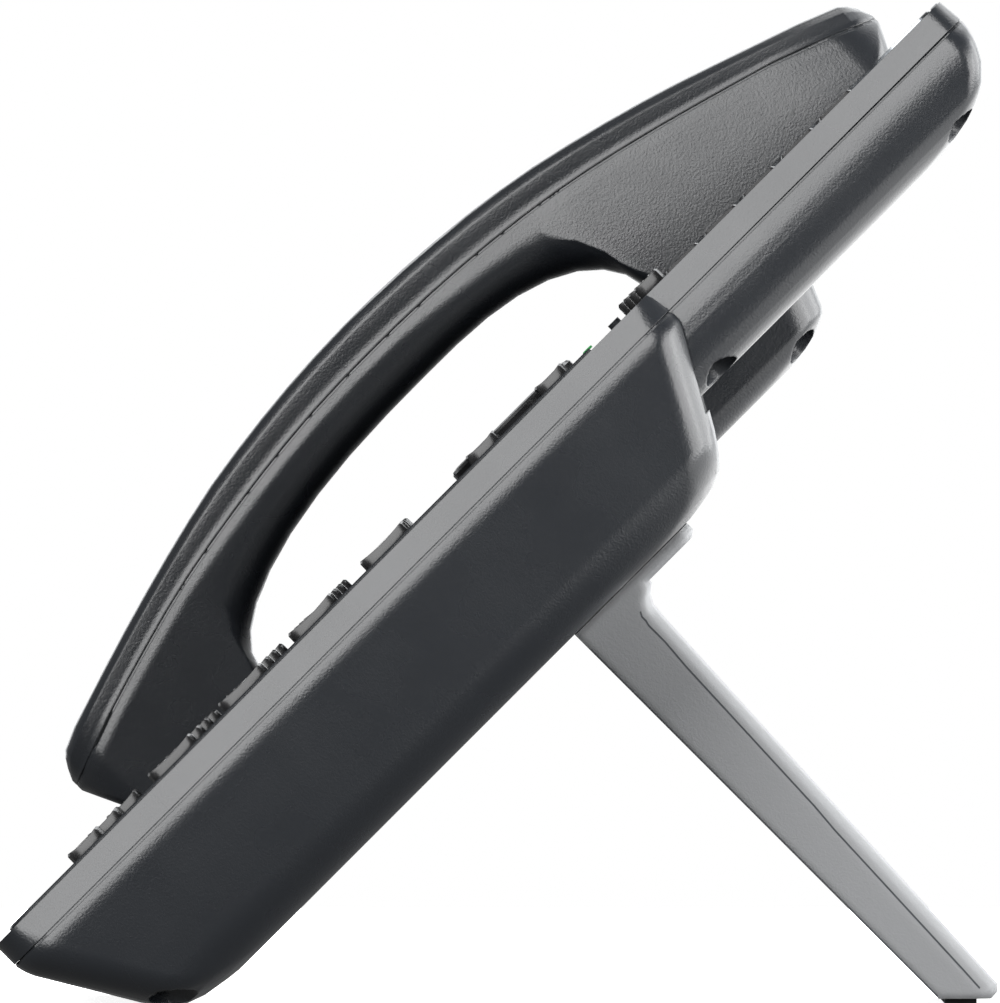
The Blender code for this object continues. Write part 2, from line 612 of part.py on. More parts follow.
def make_stand(mats):
    rings = []
    for t, rear, half, radius in STAND_LEVELS:
        ring = rounded_rect(-half, half, STAND_FRONT - radius, rear, t, radius)
        rings.append([(x, max(s, STAND_FRONT), level) for x, s, level in ring])
    stand = add_object("stand", loft(rings), mats["stand"])
    join(stand, loft([rounded_rect(-50.0, 50.0, STAND_FRONT, 148.7, STAND_TOP, 4.0),
                      rounded_rect(-50.0, 50.0, STAND_FRONT, 148.7, -37.6, 4.0),
                      rounded_rect(-49.2, 49.2, STAND_FRONT + 0.8, 147.4, -38.6, 3.2)]), "plate")
    for k, (top, bottom) in enumerate(STAND_RIBS):
        rings = []
        for t in (bottom, top):
            share = (t - REAR_TOP[0]) / (REAR_BOTTOM[0] - REAR_TOP[0])
            rear = REAR_TOP[1] + (REAR_BOTTOM[1] - REAR_TOP[1]) * share - STAND_WALL
            half = REAR_TOP[2] + (REAR_BOTTOM[2] - REAR_TOP[2]) * share - STAND_WALL
            rings.append(rounded_rect(-half, half, STAND_FRONT - 4.0, rear, t, 2.0))
        cut(stand, loft(rings), f"hollow_{k}")
    cut(stand, box(-24.0, 24.0, 122.0, 140.0, -95.0, -73.0, 4.0), "cable_window")
    cut(stand, world_box((0.0, 90.0, -14.9), (200.0, 60.0, 32.0)), "foot_level")
    cut(stand, foot_block(STAND_FOOT_Y, STAND_FOOT_DEPTH, STAND_FOOT_HEIGHT, True), "foot_recess")
    for side in (-1, 1):
        x = side * LUG_X
        join(stand, box(x - 5.6, x + 5.6, LUG_S[0], LUG_S[1], STAND_TOP - 1.0, -32.6), f"lug_{side}")


def make_feet(mats):
    add_object("base_foot", foot_block(BASE_FOOT_Y, BASE_FOOT_DEPTH, BASE_FOOT_HEIGHT),
               mats["rubber"])
    add_object("stand_foot", foot_block(STAND_FOOT_Y, STAND_FOOT_DEPTH, STAND_FOOT_HEIGHT),
               mats["rubber"])


# ---------------------------------------------------------------- display
DISPLAY_ENDS = (  # depth t, upper end s
    (SHELL_TOP, 252.2), (-8.0, 251.9), (-10.4, 251.1), (-13.7, 249.3), (-16.8, 246.1),
    (-19.1, 241.3), (-20.4, 234.9), (DISPLAY_BACK, 230.5))
DISPLAY_DEPTHS = (SHELL_TOP, -7.2, -9.0, -11.2, -13.45)
DISPLAY_EDGE = back_round(-16.2, DISPLAY_BACK, 8.5)
DISPLAY_CORNER = 6.0
BARREL_CORNER = 4.0
DISPLAY_SCREWS = tuple((x, s) for x in (-39.3, 105.6) for s in (173.4, 238.0))
LENS = (-28.3, 94.6, 181.2, 249.2)
WINDOW = (-15.5, 81.5, 187.0, 243.0)


def barrel_edge(t, radius=BARREL_R):
    return HINGE_S - sqrt(max(radius * radius - (t - HINGE_T) ** 2, 0.0))


def display_levels():
    return [(t, flank_inset(t, DISPLAY_FADE)) for t in DISPLAY_DEPTHS] + DISPLAY_EDGE


def display_rings(levels, grow=0.0, low=0.0):
    rings = []
    for t, inset in levels:
        radius = max(min(DISPLAY_CORNER, BARREL_CORNER + inset) - grow, 1.0)
        rings.append(rounded_rect(DISPLAY_LEFT + inset + grow, DISPLAY_RIGHT - inset - grow,
                                  barrel_edge(t, BARREL_R - grow),
                                  end_at(DISPLAY_ENDS, t, 1) - grow, t + low, radius, 4))
    return rings


def make_display_rear(mats):
    rear = add_object("display_rear_shell", loft(display_rings(display_levels())), mats["charcoal"])
    inner = display_rings(display_levels()[1:-1], WALL, 1.6)
    inner.insert(0, [(x, s, 0.0) for x, s, _ in inner[0]])
    hollow = cut(rear, loft(inner), "hollow")
    for k, (x, s) in enumerate(DISPLAY_SCREWS):
        cut(hollow, disc(x, s, WELL_R + 1.6, -30.0, -9.5, 16), f"boss_{k}")
    for k, (x, s) in enumerate(DISPLAY_SCREWS):
        cut(rear, disc(x, s, WELL_R, -30.0, -12.5, 16), f"screw_well_{k}")
        cut(rear, disc(x, s, 1.5, -14.0, -8.0, 10), f"screw_hole_{k}")
    cut(rear, rod(HINGE_S, HINGE_T, PIN_R + PIN_CLEARANCE, DISPLAY_LEFT - 1, DISPLAY_RIGHT + 1),
        "hinge_bore")
    for k in range(5):
        s = 200.0 + 6.0 * k
        cut(rear, box(8.0, 58.0, s, s + 2.2, DISPLAY_BACK - 2, DISPLAY_BACK + 3), f"vent_{k}")
    return rear


def make_display_bezel(mats, holes):
    low, high = barrel_edge(-COVER_DEPTH), barrel_edge(0.0)
    rings = []
    for t, end in ((-COVER_DEPTH, 252.2), (-COVER_DEPTH / 2, 252.0), (0.0, 251.8)):
        inset = flank_inset(t, DISPLAY_FADE)
        rings.append(rounded_rect(DISPLAY_LEFT + inset, DISPLAY_RIGHT - inset, barrel_edge(t), end,
                                  t, BARREL_CORNER, 4))
    bezel = add_object("display_bezel", loft(rings), mats["faceplate"])
    join(bezel, box(60.0, 64.0, 164.4, 167.0, -1.0, 1.0, 0.8), "sensor_nub")
    cut(bezel, loft([
        rounded_rect(DISPLAY_LEFT + 4.0, DISPLAY_RIGHT - 4.0, low + 2.4, 250.0, -6.0, 3.0),
        rounded_rect(DISPLAY_LEFT + 4.7, DISPLAY_RIGHT - 4.7, high + 1.4, 249.6, -WALL, 3.0),
    ]), "hollow")
    x0, x1, s0, s1 = LENS
    cut(bezel, box(x0 - GAP, x1 + GAP, s0 - GAP, s1 + GAP, -1.2, 3.0, 3.0 + GAP), "lens_seat")
    cut(bezel, box(*WINDOW, -4.0, 1.0, 1.0), "window")
    for name, tool in holes:
        cut(bezel, tool, f"hole_{name}")
    return bezel


def make_display_keys(mats):
    holes = []
    for k, (x, s) in enumerate(zip(SOFTKEY_X, SOFTKEY_S)):
        name = f"softkey_{len(SOFTKEY_X) - k}"
        add_object(name, key_solid(x, s, 20.0, 6.2, KEY_RISE - 0.1, 0.3, 1.6), mats["key"], (x, s, 0.0))
        holes.append((name, key_hole(x, s, 20.0, 6.2, 1.6)))
    for side, x in zip(("left", "right"), LINE_KEY_X):
        for k, s in enumerate(LINE_KEY_S):
            name = f"line_key_{side}_{len(LINE_KEY_S) - k}"
            add_object(name, key_solid(x, s, LINE_KEY_WIDTH, 8.6, 0.5, 0.0, 1.2), mats["key"],
                       (x, s, 0.0))
            holes.append((name, key_hole(x, s, LINE_KEY_WIDTH, 8.6, 1.2)))
    return holes


def make_display(mats):
    make_display_rear(mats)
    make_display_bezel(mats, make_display_keys(mats))
    x0, x1, s0, s1 = LENS
    add_object("display_lens", box(x0, x1, s0, s1, -0.9, 0.5, 3.0, 3), mats["glass"])
    x0, x1, s0, s1 = WINDOW
    add_object("lcd_module", box(x0 - 4.0, x1 + 4.0, s0 - 1.5, s1 + 2.0, -6.8, -2.5), mats["lcd"])
    add_object("display_hinge_pin",
               rod(HINGE_S, HINGE_T, PIN_R, DISPLAY_LEFT - 2.6, DISPLAY_RIGHT + 2.1), mats["steel"])


# ---------------------------------------------------------------- handset
HANDSET_TOP = ((30.3, 12.2), (31.4, 14.5), (33.6, 17.4), (43.9, 21.2), (65.0, 27.6), (86.0, 32.9),
               (98.0, 34.9), (110.0, 36.3), (122.0, 37.1), (134.0, 37.3), (150.0, 36.6),
               (166.0, 34.9), (180.4, 32.3), (201.8, 26.7), (221.0, 20.3), (239.5, 13.5),
               (242.0, 10.8), (243.3, 7.6))
HANDSET_PART = ((30.3, 10.8), (48.0, 17.1), (79.2, 25.1), (121.6, 29.8), (172.5, 26.9),
                (222.0, 14.8), (243.3, 6.5))
HANDSET_LOW_START = ((30.3, 9.6), (33.6, 2.6), (35.0, -0.6), (36.6, -2.7), (38.4, HANDSET_FLOOR),
                     (66.0, HANDSET_FLOOR), (68.6, -2.2), (70.4, 0.0), (71.3, 2.2))
HANDSET_LOW_END = ((175.4, 2.2), (176.5, 0.0), (178.4, -2.2), (181.0, HANDSET_FLOOR),
                   (234.0, HANDSET_FLOOR), (237.8, -2.0), (240.7, 0.5), (243.3, 5.6))
ARCH_APEX_S, ARCH_FOOT_T, ARCH_HEIGHT = 134.0, 2.2, 17.1
ARCH_START, ARCH_END = 71.3, 175.4
END_ROUND = 9.0
CHAMBER_HALF = 16.6           # half width of the hollows in the handset's ends


def handset_low(s):
    if s <= ARCH_START:
        return along(HANDSET_LOW_START, s)
    if s >= ARCH_END:
        return along(HANDSET_LOW_END, s)
    reach, power = (ARCH_APEX_S - ARCH_START, 2.6) if s < ARCH_APEX_S else (ARCH_END - ARCH_APEX_S, 2.9)
    u = abs(s - ARCH_APEX_S) / reach
    return ARCH_FOOT_T + ARCH_HEIGHT * max(1.0 - u ** power, 0.0) ** 0.54


def handset_half(s):
    """Half width at the parting line, with the plan's corners rounded off at both ends."""
    d = max(min(s - HANDSET_START, HANDSET_END - s), 0.0)
    if d >= END_ROUND:
        return PARTING_HALF
    return PARTING_HALF - END_ROUND + sqrt(END_ROUND ** 2 - (END_ROUND - d) ** 2)


EAR_FLARE_START, EAR_FLARE_END = 136.0, 182.0


def inner_run(depth, s):
    """How far the inner shell's side has run outwards at a depth below the parting line.

    It leans out for a short way and turns upright; towards the ear end it keeps flaring."""
    share = min(max((s - EAR_FLARE_START) / (EAR_FLARE_END - EAR_FLARE_START), 0.0), 1.0)
    share *= share * (3 - 2 * share)
    lean, turn = 1.3 + 0.7 * share, 1.2 + 41.4 * share
    turned_part = min(max(depth - lean, 0.0), turn)
    return 0.25 * (min(depth, lean) + turned_part - turned_part ** 2 / (2 * turn))


def handset_fillet(s):
    """Radius that rounds the underside's edges: small on the pads, large under the grip."""
    inside = min(s - (ARCH_START - 4.0), (ARCH_END + 4.0) - s)
    return 3.0 + 6.0 * min(max(inside / 9.0, 0.0), 1.0)


def mirrored(side, s):
    """Full cross-section ring at s, from the right half's (offset, height) points."""
    right = [(HANDSET_X + a, s, t) for a, t in side]
    left = [(HANDSET_X - a, s, t) for a, t in reversed(side)]
    return right + left


OUTER_PROFILE = (  # inset from the parting line's half width, share of the shell's height
    (0.0, 0.0), (0.10, 0.05), (0.32, 0.15), (0.40, 0.28), (0.42, 0.42), (0.58, 0.675), (0.68, 0.70),
    (1.25, 0.815), (2.2, 0.93), (3.8, 0.985), (7.4, 1.0))


def outer_section(s):
    low = through(HANDSET_PART, s) + 0.25
    rise = through(HANDSET_TOP, s) - low
    half = handset_half(s)
    return mirrored([(half - a, low + rise * f) for a, f in OUTER_PROFILE], s)


def outer_hollow_section(s):
    low = through(HANDSET_PART, s)
    top = through(HANDSET_TOP, s)
    half = handset_half(s)
    side = ((half - 3.2, low - 1.0), (half - 5.6, low + 0.30 * (top - low)),
            (half - 6.8, low + 0.44 * (top - low)), (half - 9.4, top - 2.8), (half - 13.0, top - 2.1))
    return mirrored(side, s)


def inner_section(s):
    top = through(HANDSET_PART, s) - 0.25
    low = min(handset_low(s), top - 0.6)
    height = top - low
    half = handset_half(s)
    across = handset_fillet(s)
    up = min(across, 0.6 * height)
    upright = height - up
    scale = min(upright / 6.0, 1.0)
    depths = [0.0, 1.2 * scale, 1.8 * scale, 2.6 * scale, 0.55 * upright, upright]
    depths[4] = max(depths[4], depths[3] + 0.1 * scale)
    side = [(half + inner_run(d, s), top - d) for d in depths]
    foot = half + inner_run(upright, s)
    for i in range(1, 6):
        a = radians(90 * i / 5)
        side.append((foot - across + across * cos(a), low + up - up * sin(a)))
    return mirrored(side, s)


def spread(start, end, count):
    return [start + (end - start) * i / count for i in range(count)]


def handset_stations():
    ends = [30.35, 30.9, 32.0, 33.6, 35.0, 36.6, 38.4, 45.0, 52.0, 59.0, 66.0, 68.6, 70.4]
    arch = [ARCH_APEX_S - (ARCH_APEX_S - ARCH_START) * cos(radians(90 * i / 9)) for i in range(9)]
    arch += [ARCH_APEX_S + (ARCH_END - ARCH_APEX_S) * sin(radians(90 * i / 8)) for i in range(9)]
    rest = [176.5, 178.4, 181.0, 190.0, 200.0, 210.0, 222.0, 234.0, 237.8, 240.7, 242.4, 243.2]
    return ends + arch + rest


def make_handset(mats):
    top_stations = [30.35, 31.4, 32.5, 33.6, 38.0, 43.9] + spread(50.0, 239.5, 24)
    top_stations += [239.5, 241.0, 242.2, 243.2]
    outer = add_object("handset_outer_shell", loft([outer_section(s) for s in top_stations]),
                       mats["charcoal"])
    hollow = spread(40.0, 234.0, 16) + [234.0]
    cut(outer, loft([outer_hollow_section(s) for s in hollow]), "hollow")

    inner = add_object("handset_inner_shell", loft([inner_section(s) for s in handset_stations()]),
                       mats["charcoal"])
    def lid(s):
        return (s, through(HANDSET_PART, s) + 2.0)
    mouth = [(47.0, -1.0), (65.0, -1.0), (67.5, 2.0), (69.0, 8.0), lid(71.0), lid(59.0), lid(47.0)]
    cut(inner, prism(mouth, HANDSET_X - CHAMBER_HALF, HANDSET_X + CHAMBER_HALF), "mouth_chamber")
    ear = [(182.5, -1.0), (233.0, -1.0), (236.0, 3.0), lid(236.0), lid(206.0), lid(178.0), (178.0, 9.0)]
    cut(inner, prism(ear, HANDSET_X - CHAMBER_HALF, HANDSET_X + CHAMBER_HALF), "ear_chamber")
    floor = [(s, handset_low(s) + 2.8) for s in
             [ARCH_APEX_S - 59.0 * cos(radians(9 * i)) for i in range(10)]
             + [ARCH_APEX_S + 38.5 * sin(radians(11.25 * i)) for i in range(9)]]
    channel = [(68.0, 9.5)] + floor + [(179.5, 9.0)] + [lid(s) for s in (179.5, 150.0, 121.0, 92.0, 68.0)]
    cut(inner, prism(channel, HANDSET_X - 12.0, HANDSET_X + 12.0), "handle_channel")
    cut(inner, box(HANDSET_X - 3.95, HANDSET_X + 3.95, 26.0, 43.0, 1.0, 8.0), "cord_jack")
    for k in range(7):
        r = 0.0 if k == 0 else 6.0
        a = 2 * pi * k / 6
        cut(inner, disc(HANDSET_X + r * cos(a), 208.0 + r * sin(a), 1.4, -5.0, 1.0, 8), f"ear_hole_{k}")
    for k in (-1, 0, 1):
        cut(inner, disc(HANDSET_X + 5.0 * k, 52.0, 1.2, -5.0, 1.0, 8), f"mouth_hole_{k}")
    add_object("receiver", loft([circle(HANDSET_X, 208.0, -0.6, 15.5), circle(HANDSET_X, 208.0, 3.4, 15.5),
                                 circle(HANDSET_X, 208.0, 4.4, 10.0), circle(HANDSET_X, 208.0, 7.4, 10.0)]),
               mats["jack"])
    add_object("microphone", disc(HANDSET_X, 52.0, 5.0, -0.6, 4.4, 20), mats["steel"])


# ---------------------------------------------------------------- assembly
def main():
    clear_scene()
    mats = make_materials()
    holes = make_keys(mats) + make_navigation(mats)
    make_base_rear_shell(mats)
    make_base_front_cover(mats, holes)
    make_inside(mats)
    make_hookswitch(mats)
    make_stand(mats)
    make_feet(mats)
    make_display(mats)
    make_handset(mats)


main()
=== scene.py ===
"""Finish of the desk IP phone: moulded plastics, printed keys, screws, contacts, studio.

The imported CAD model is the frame.  Small fittings and prints are added on its bodies, every
node gets a procedural material, and the camera looks at the phone's right side.  Pieces are
drawn in the face frame, in mm: x to the right, s up the slope, t out of the face.
"""

import json
from math import cos, pi, radians, sin

import bmesh
import bpy
from mathutils import Matrix, Vector
from mathutils.bvhtree import BVHTree


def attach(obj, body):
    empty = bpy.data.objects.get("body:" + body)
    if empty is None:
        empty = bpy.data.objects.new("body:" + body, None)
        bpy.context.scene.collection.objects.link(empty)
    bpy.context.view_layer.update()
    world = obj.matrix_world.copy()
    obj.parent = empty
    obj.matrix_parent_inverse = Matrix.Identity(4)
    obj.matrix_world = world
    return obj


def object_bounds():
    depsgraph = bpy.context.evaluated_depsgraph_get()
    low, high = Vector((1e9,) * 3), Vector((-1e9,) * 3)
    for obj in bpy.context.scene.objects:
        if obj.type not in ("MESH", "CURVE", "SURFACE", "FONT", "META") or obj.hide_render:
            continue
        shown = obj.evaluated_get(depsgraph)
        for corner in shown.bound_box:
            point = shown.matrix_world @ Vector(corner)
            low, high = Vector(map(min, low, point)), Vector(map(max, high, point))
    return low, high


MM = 0.001
FACE_TILT = radians(45.0)
FACE_ORIGIN = Vector((0.0, -94.7, 11.6)) * MM       # the face's lower edge, on the centre line
FACE_FRAME = Matrix.Translation(FACE_ORIGIN) @ Matrix.Rotation(FACE_TILT, 4, "X")
FACE_NORMAL = (FACE_FRAME.to_3x3() @ Vector((0.0, 0.0, 1.0))).normalized()
UP_THE_FACE = (FACE_FRAME.to_3x3() @ Vector((0.0, 1.0, 0.0))).normalized()
ABOVE, BELOW = 50.0, -60.0       # rays start in front of the keys or behind the wells, mm
SHARP_ANGLE = radians(27.0)      # edges bent more than this stay sharp

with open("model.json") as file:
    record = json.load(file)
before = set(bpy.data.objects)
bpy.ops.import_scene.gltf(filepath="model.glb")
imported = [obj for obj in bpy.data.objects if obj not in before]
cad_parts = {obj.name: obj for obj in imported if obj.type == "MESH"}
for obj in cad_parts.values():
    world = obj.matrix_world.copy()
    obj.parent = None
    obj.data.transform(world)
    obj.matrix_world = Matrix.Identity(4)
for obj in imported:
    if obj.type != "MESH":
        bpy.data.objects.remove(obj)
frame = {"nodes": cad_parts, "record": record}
nodes = frame["nodes"]
cad_low, cad_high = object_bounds()
to_face = FACE_FRAME.inverted()
body_of_node = {node: body for body, members in frame["record"]["behaviour"]["bodies"].items()
                for node in members}


def face_box(node):
    """Lowest and highest corner of a CAD node in the face frame, mm."""
    points = [to_face @ v.co / MM for v in nodes[node].data.vertices]
    return tuple(Vector(f(p[i] for p in points) for i in range(3)) for f in (min, max))


def face_centre(node):
    low, high = face_box(node)
    return (low + high) / 2


def surface_of(node):
    """A CAD node's surface in the face frame, mm, for casting rays at it."""
    mesh = nodes[node].data
    return BVHTree.FromPolygons([to_face @ v.co / MM for v in mesh.vertices],
                                [tuple(p.vertices) for p in mesh.polygons])


def surface_height(node, x, s, start=ABOVE, down=-1):
    """Height t of the first surface met along the face normal from the start height."""
    return surface_of(node).ray_cast(Vector((x, s, start)), Vector((0, 0, down)))[0].z


def linked_object(name, data):
    obj = bpy.data.objects.new(name, data)
    bpy.context.scene.collection.objects.link(obj)
    return obj


# ---------------------------------------------------------------- node tree helpers
def add(tree, kind, sockets=None, **settings):
    """New shader node with its settings, and values or links for its input sockets."""
    node = tree.nodes.new(kind)
    for name, value in settings.items():
        setattr(node, name, value)
    for name, value in (sockets or {}).items():
        if isinstance(value, bpy.types.NodeSocket):
            tree.links.new(value, node.inputs[name])
        else:
            node.inputs[name].default_value = value
    return node


def new_material(name, **sockets):
    """New material, its node tree and its shader, with uniform values for some sockets."""
    mat = bpy.data.materials.new(name)
    mat.use_nodes = True
    shader = mat.node_tree.nodes["Principled BSDF"]
    for label, value in sockets.items():
        shader.inputs[label.replace("_", " ")].default_value = value
    return mat, mat.node_tree, shader


def millimetres(tree, stretch=(1.0, 1.0, 1.0)):
    """Object coordinates in mm, turned into the face frame and stretched there."""
    place = add(tree, "ShaderNodeTexCoord").outputs["Object"]
    turned = add(tree, "ShaderNodeMapping", {
        "Vector": place, "Rotation": (-FACE_TILT, 0.0, 0.0), "Scale": (1 / MM,) * 3})
    spread = add(tree, "ShaderNodeMapping", {
        "Vector": turned.outputs["Vector"], "Scale": stretch})
    return spread.outputs["Vector"]


def noise(tree, place, scale, detail=2.0, roughness=0.5):
    node = add(tree, "ShaderNodeTexNoise", {
        "Vector": place, "Scale": scale, "Detail": detail, "Roughness": roughness})
    return node.outputs["Fac"]


def calculate(tree, operation, a, b):
    return add(tree, "ShaderNodeMath", {0: a, 1: b}, operation=operation).outputs[0]


def spread_to(tree, value, low, high, start=0.0, end=1.0):
    """Maps start..end of a value to low..high, held at both ends."""
    node = add(tree, "ShaderNodeMapRange", {
        "Value": value, "From Min": start, "From Max": end, "To Min": low, "To Max": high})
    return node.outputs["Result"]


def scaled(colour, factor):
    return tuple(factor * c for c in colour)


def paint(tree, shader, share, first, second):
    """Base colour that runs from the first to the second colour with the share."""
    node = add(tree, "ShaderNodeMix", {"Factor": share}, data_type="RGBA")
    for socket, colour in zip([s for s in node.inputs if s.type == "RGBA"], (first, second)):
        socket.default_value = (*colour, 1.0)
    blended = next(s for s in node.outputs if s.type == "RGBA")
    tree.links.new(blended, shader.inputs["Base Color"])


def roughen(tree, shader, value, low, high, start=0.0, end=1.0):
    tree.links.new(spread_to(tree, value, low, high, start, end), shader.inputs["Roughness"])


def bumped(tree, shader, height, depth, edge=0.0):
    """Relief of the given depth, over edges softened by a small round if any, both mm."""
    bump = add(tree, "ShaderNodeBump", {
        "Strength": 1.0, "Distance": depth * MM, "Height": height})
    if edge:
        soft = add(tree, "ShaderNodeBevel", {"Radius": edge * MM}, samples=4)
        tree.links.new(soft.outputs["Normal"], bump.inputs["Normal"])
    tree.links.new(bump.outputs["Normal"], shader.inputs["Normal"])


def camera_ray_mix(tree, other, direct):
    """Shader that camera rays see as the direct one and all other rays as the other one."""
    seen = add(tree, "ShaderNodeLightPath").outputs["Is Camera Ray"]
    return add(tree, "ShaderNodeMixShader", {0: seen, 1: other, 2: direct}).outputs[0]


# ---------------------------------------------------------------- materials
# Noise scales are per mm.
MIDDLE_OF_NOISE = (0.3, 0.7)     # noise rarely leaves this range, so it is what gets spread


def leather_grain(tree, cell):
    """Moulded leather-like relief: winding folds about a cell apart, in mm, on broad waves."""
    place = millimetres(tree)
    sway = add(tree, "ShaderNodeTexNoise", {"Vector": place, "Scale": 0.5 / cell, "Detail": 1.0})
    shift = add(tree, "ShaderNodeVectorMath", {
        0: sway.outputs["Color"], "Scale": 1.6 * cell}, operation="SCALE")
    moved = add(tree, "ShaderNodeVectorMath", {
        0: place, 1: shift.outputs["Vector"]}, operation="ADD")
    folds = noise(tree, moved.outputs["Vector"], 1 / cell, 2.0, 0.4)
    waves = noise(tree, place, 0.25 / cell, 1.0)
    return calculate(tree, "ADD", folds, calculate(tree, "MULTIPLY", waves, 0.3))


def moulded_plastic(name, colour, roughness, cell, depth, edge, specular=0.6, mottle=0.06):
    """Grained moulding whose colour varies by the mottle, with slow changes of sheen."""
    mat, tree, shader = new_material(name, Specular_IOR_Level=specular)
    place = millimetres(tree)
    paint(tree, shader, noise(tree, place, 0.05, 3.0, 0.6),
          scaled(colour, 1 - mottle), scaled(colour, 1 + mottle))
    roughen(tree, shader, noise(tree, place, 0.06, 3.0),
            roughness - 0.02, roughness + 0.03, *MIDDLE_OF_NOISE)
    bumped(tree, shader, leather_grain(tree, cell), depth, edge)
    return mat


def smooth_plastic(name, colour, roughness, edge=0.0, specular=0.5):
    """Polished tool finish: faint orange peel and a haze of handling marks."""
    mat, tree, shader = new_material(name, Specular_IOR_Level=specular)
    place = millimetres(tree)
    paint(tree, shader, noise(tree, place, 0.25), scaled(colour, 0.85), scaled(colour, 1.15))
    roughen(tree, shader, noise(tree, place, 0.25, 3.0, 0.6),
            roughness - 0.03, roughness + 0.04, *MIDDLE_OF_NOISE)
    bumped(tree, shader, noise(tree, place, 1.2, 1.0), 0.004, edge)
    return mat


def rubber(name, colour):
    """Matt rubber with lighter dust on it."""
    mat, tree, shader = new_material(name, Specular_IOR_Level=0.3)
    place = millimetres(tree)
    dust = noise(tree, place, 0.6, 4.0, 0.6)
    paint(tree, shader, dust, colour, scaled(colour, 1.8))
    roughen(tree, shader, dust, 0.7, 0.9)
    bumped(tree, shader, noise(tree, place, 5.0), 0.03, 0.2)
    return mat


def metal(name, colour, roughness):
    """Turned or stamped metal with fine lines drawn along x."""
    mat, tree, shader = new_material(name, Metallic=1.0)
    lines = noise(tree, millimetres(tree, (0.15, 6.0, 6.0)), 2.0, 3.0)
    paint(tree, shader, lines, scaled(colour, 0.85), colour)
    roughen(tree, shader, lines, roughness - 0.07, roughness + 0.07, *MIDDLE_OF_NOISE)
    bumped(tree, shader, lines, 0.004, 0.1)
    return mat


def printed_ink(name, colour):
    """Pad print that covers a little unevenly."""
    mat, tree, shader = new_material(name, Specular_IOR_Level=0.4)
    cover = noise(tree, millimetres(tree), 9.0, 3.0)
    paint(tree, shader, cover, scaled(colour, 0.88), colour)
    roughen(tree, shader, cover, 0.42, 0.58, *MIDDLE_OF_NOISE)
    return mat


def glass(name):
    """Tinted clear window with faint smears."""
    mat, tree, shader = new_material(name, Base_Color=(0.72, 0.75, 0.78, 1.0),
                                     Transmission_Weight=1.0, IOR=1.49)
    smear = noise(tree, millimetres(tree), 0.12, 5.0, 0.7)
    roughen(tree, shader, smear, 0.02, 0.11, 0.35, 0.75)
    return mat


def screen(name):
    """Switched-off panel: deep blue black, brighter towards the top as painted light, with a
    fine pixel pitch.
    """
    mat, tree, shader = new_material(name, Specular_IOR_Level=0.6)
    place = millimetres(tree)
    up = add(tree, "ShaderNodeSeparateXYZ", {"Vector": place}).outputs["Y"]
    low, high = face_box("lcd_module")
    # painted light: the panel's colour runs brighter from its lower edge to its upper edge
    paint(tree, shader, spread_to(tree, up, 0.0, 1.0, low.y, high.y),
          (0.006, 0.008, 0.012), (0.020, 0.027, 0.038))
    pixels = add(tree, "ShaderNodeTexBrick", {
        "Vector": place, "Scale": 1.0, "Mortar Size": 0.02, "Brick Width": 0.25,
        "Row Height": 0.25})
    roughen(tree, shader, pixels.outputs["Fac"], 0.22, 0.5)
    return mat


def solder_mask(name):
    """Green lacquer over raised copper tracks."""
    mat, tree, shader = new_material(name, Specular_IOR_Level=0.5)
    place = millimetres(tree)
    tracks = add(tree, "ShaderNodeTexBrick", {
        "Vector": place, "Scale": 1.0, "Mortar Size": 0.25, "Brick Width": 9.0,
        "Row Height": 3.0}).outputs["Fac"]
    paint(tree, shader, tracks, (0.012, 0.10, 0.04), (0.03, 0.2, 0.08))
    roughen(tree, shader, noise(tree, place, 1.5), 0.3, 0.5)
    bumped(tree, shader, tracks, 0.03, 0.1)
    return mat


SLOT_MATERIALS = {
    "shell_plastic": moulded_plastic(
        "shell_plastic", (0.0095, 0.0111, 0.0137), 0.27, cell=0.45, depth=0.040, edge=0.5),
    "cover_plastic": moulded_plastic(
        "cover_plastic", (0.0100, 0.0116, 0.0142), 0.27, cell=0.45, depth=0.044, edge=0.15),
    "stand_plastic": moulded_plastic(
        "stand_plastic", (0.198, 0.202, 0.207), 0.45, cell=0.48, depth=0.035, edge=2.2,
        specular=0.45, mottle=0.03),
    "key_plastic": smooth_plastic(
        "key_plastic", (0.0065, 0.0065, 0.007), 0.24, specular=0.42),
    "component_plastic": moulded_plastic(
        "component_plastic", (0.018, 0.018, 0.02), 0.5, cell=0.8, depth=0.02, edge=0.3),
    "jack_plastic": smooth_plastic("jack_plastic", (0.014, 0.014, 0.015), 0.38, edge=0.15),
    "foot_rubber": rubber("foot_rubber", (0.014, 0.014, 0.014)),
    "keypad_silicone": rubber("keypad_silicone", (0.20, 0.205, 0.21)),
    "pin_steel": metal("pin_steel", (0.62, 0.62, 0.63), 0.30),
    "lens_glass": glass("lens_glass"),
    "lcd_panel": screen("lcd_panel"),
    "circuit_board": solder_mask("circuit_board"),
}
INK = printed_ink("key_ink", (0.62, 0.63, 0.64))
GREEN_LAMP = printed_ink("green_lamp", (0.03, 0.30, 0.07))
CLEAR_LAMP = printed_ink("clear_lamp", (0.30, 0.31, 0.32))
GOLD = metal("contact_gold", (0.83, 0.60, 0.24), 0.22)
SCREW_STEEL = metal("screw_steel", (0.10, 0.10, 0.105), 0.35)
# Dark colour of the strips painted as shade along the stand's front and back edges.
PAINTED_EDGE_SHADE = rubber("painted_edge_shade", (0.03, 0.032, 0.035))


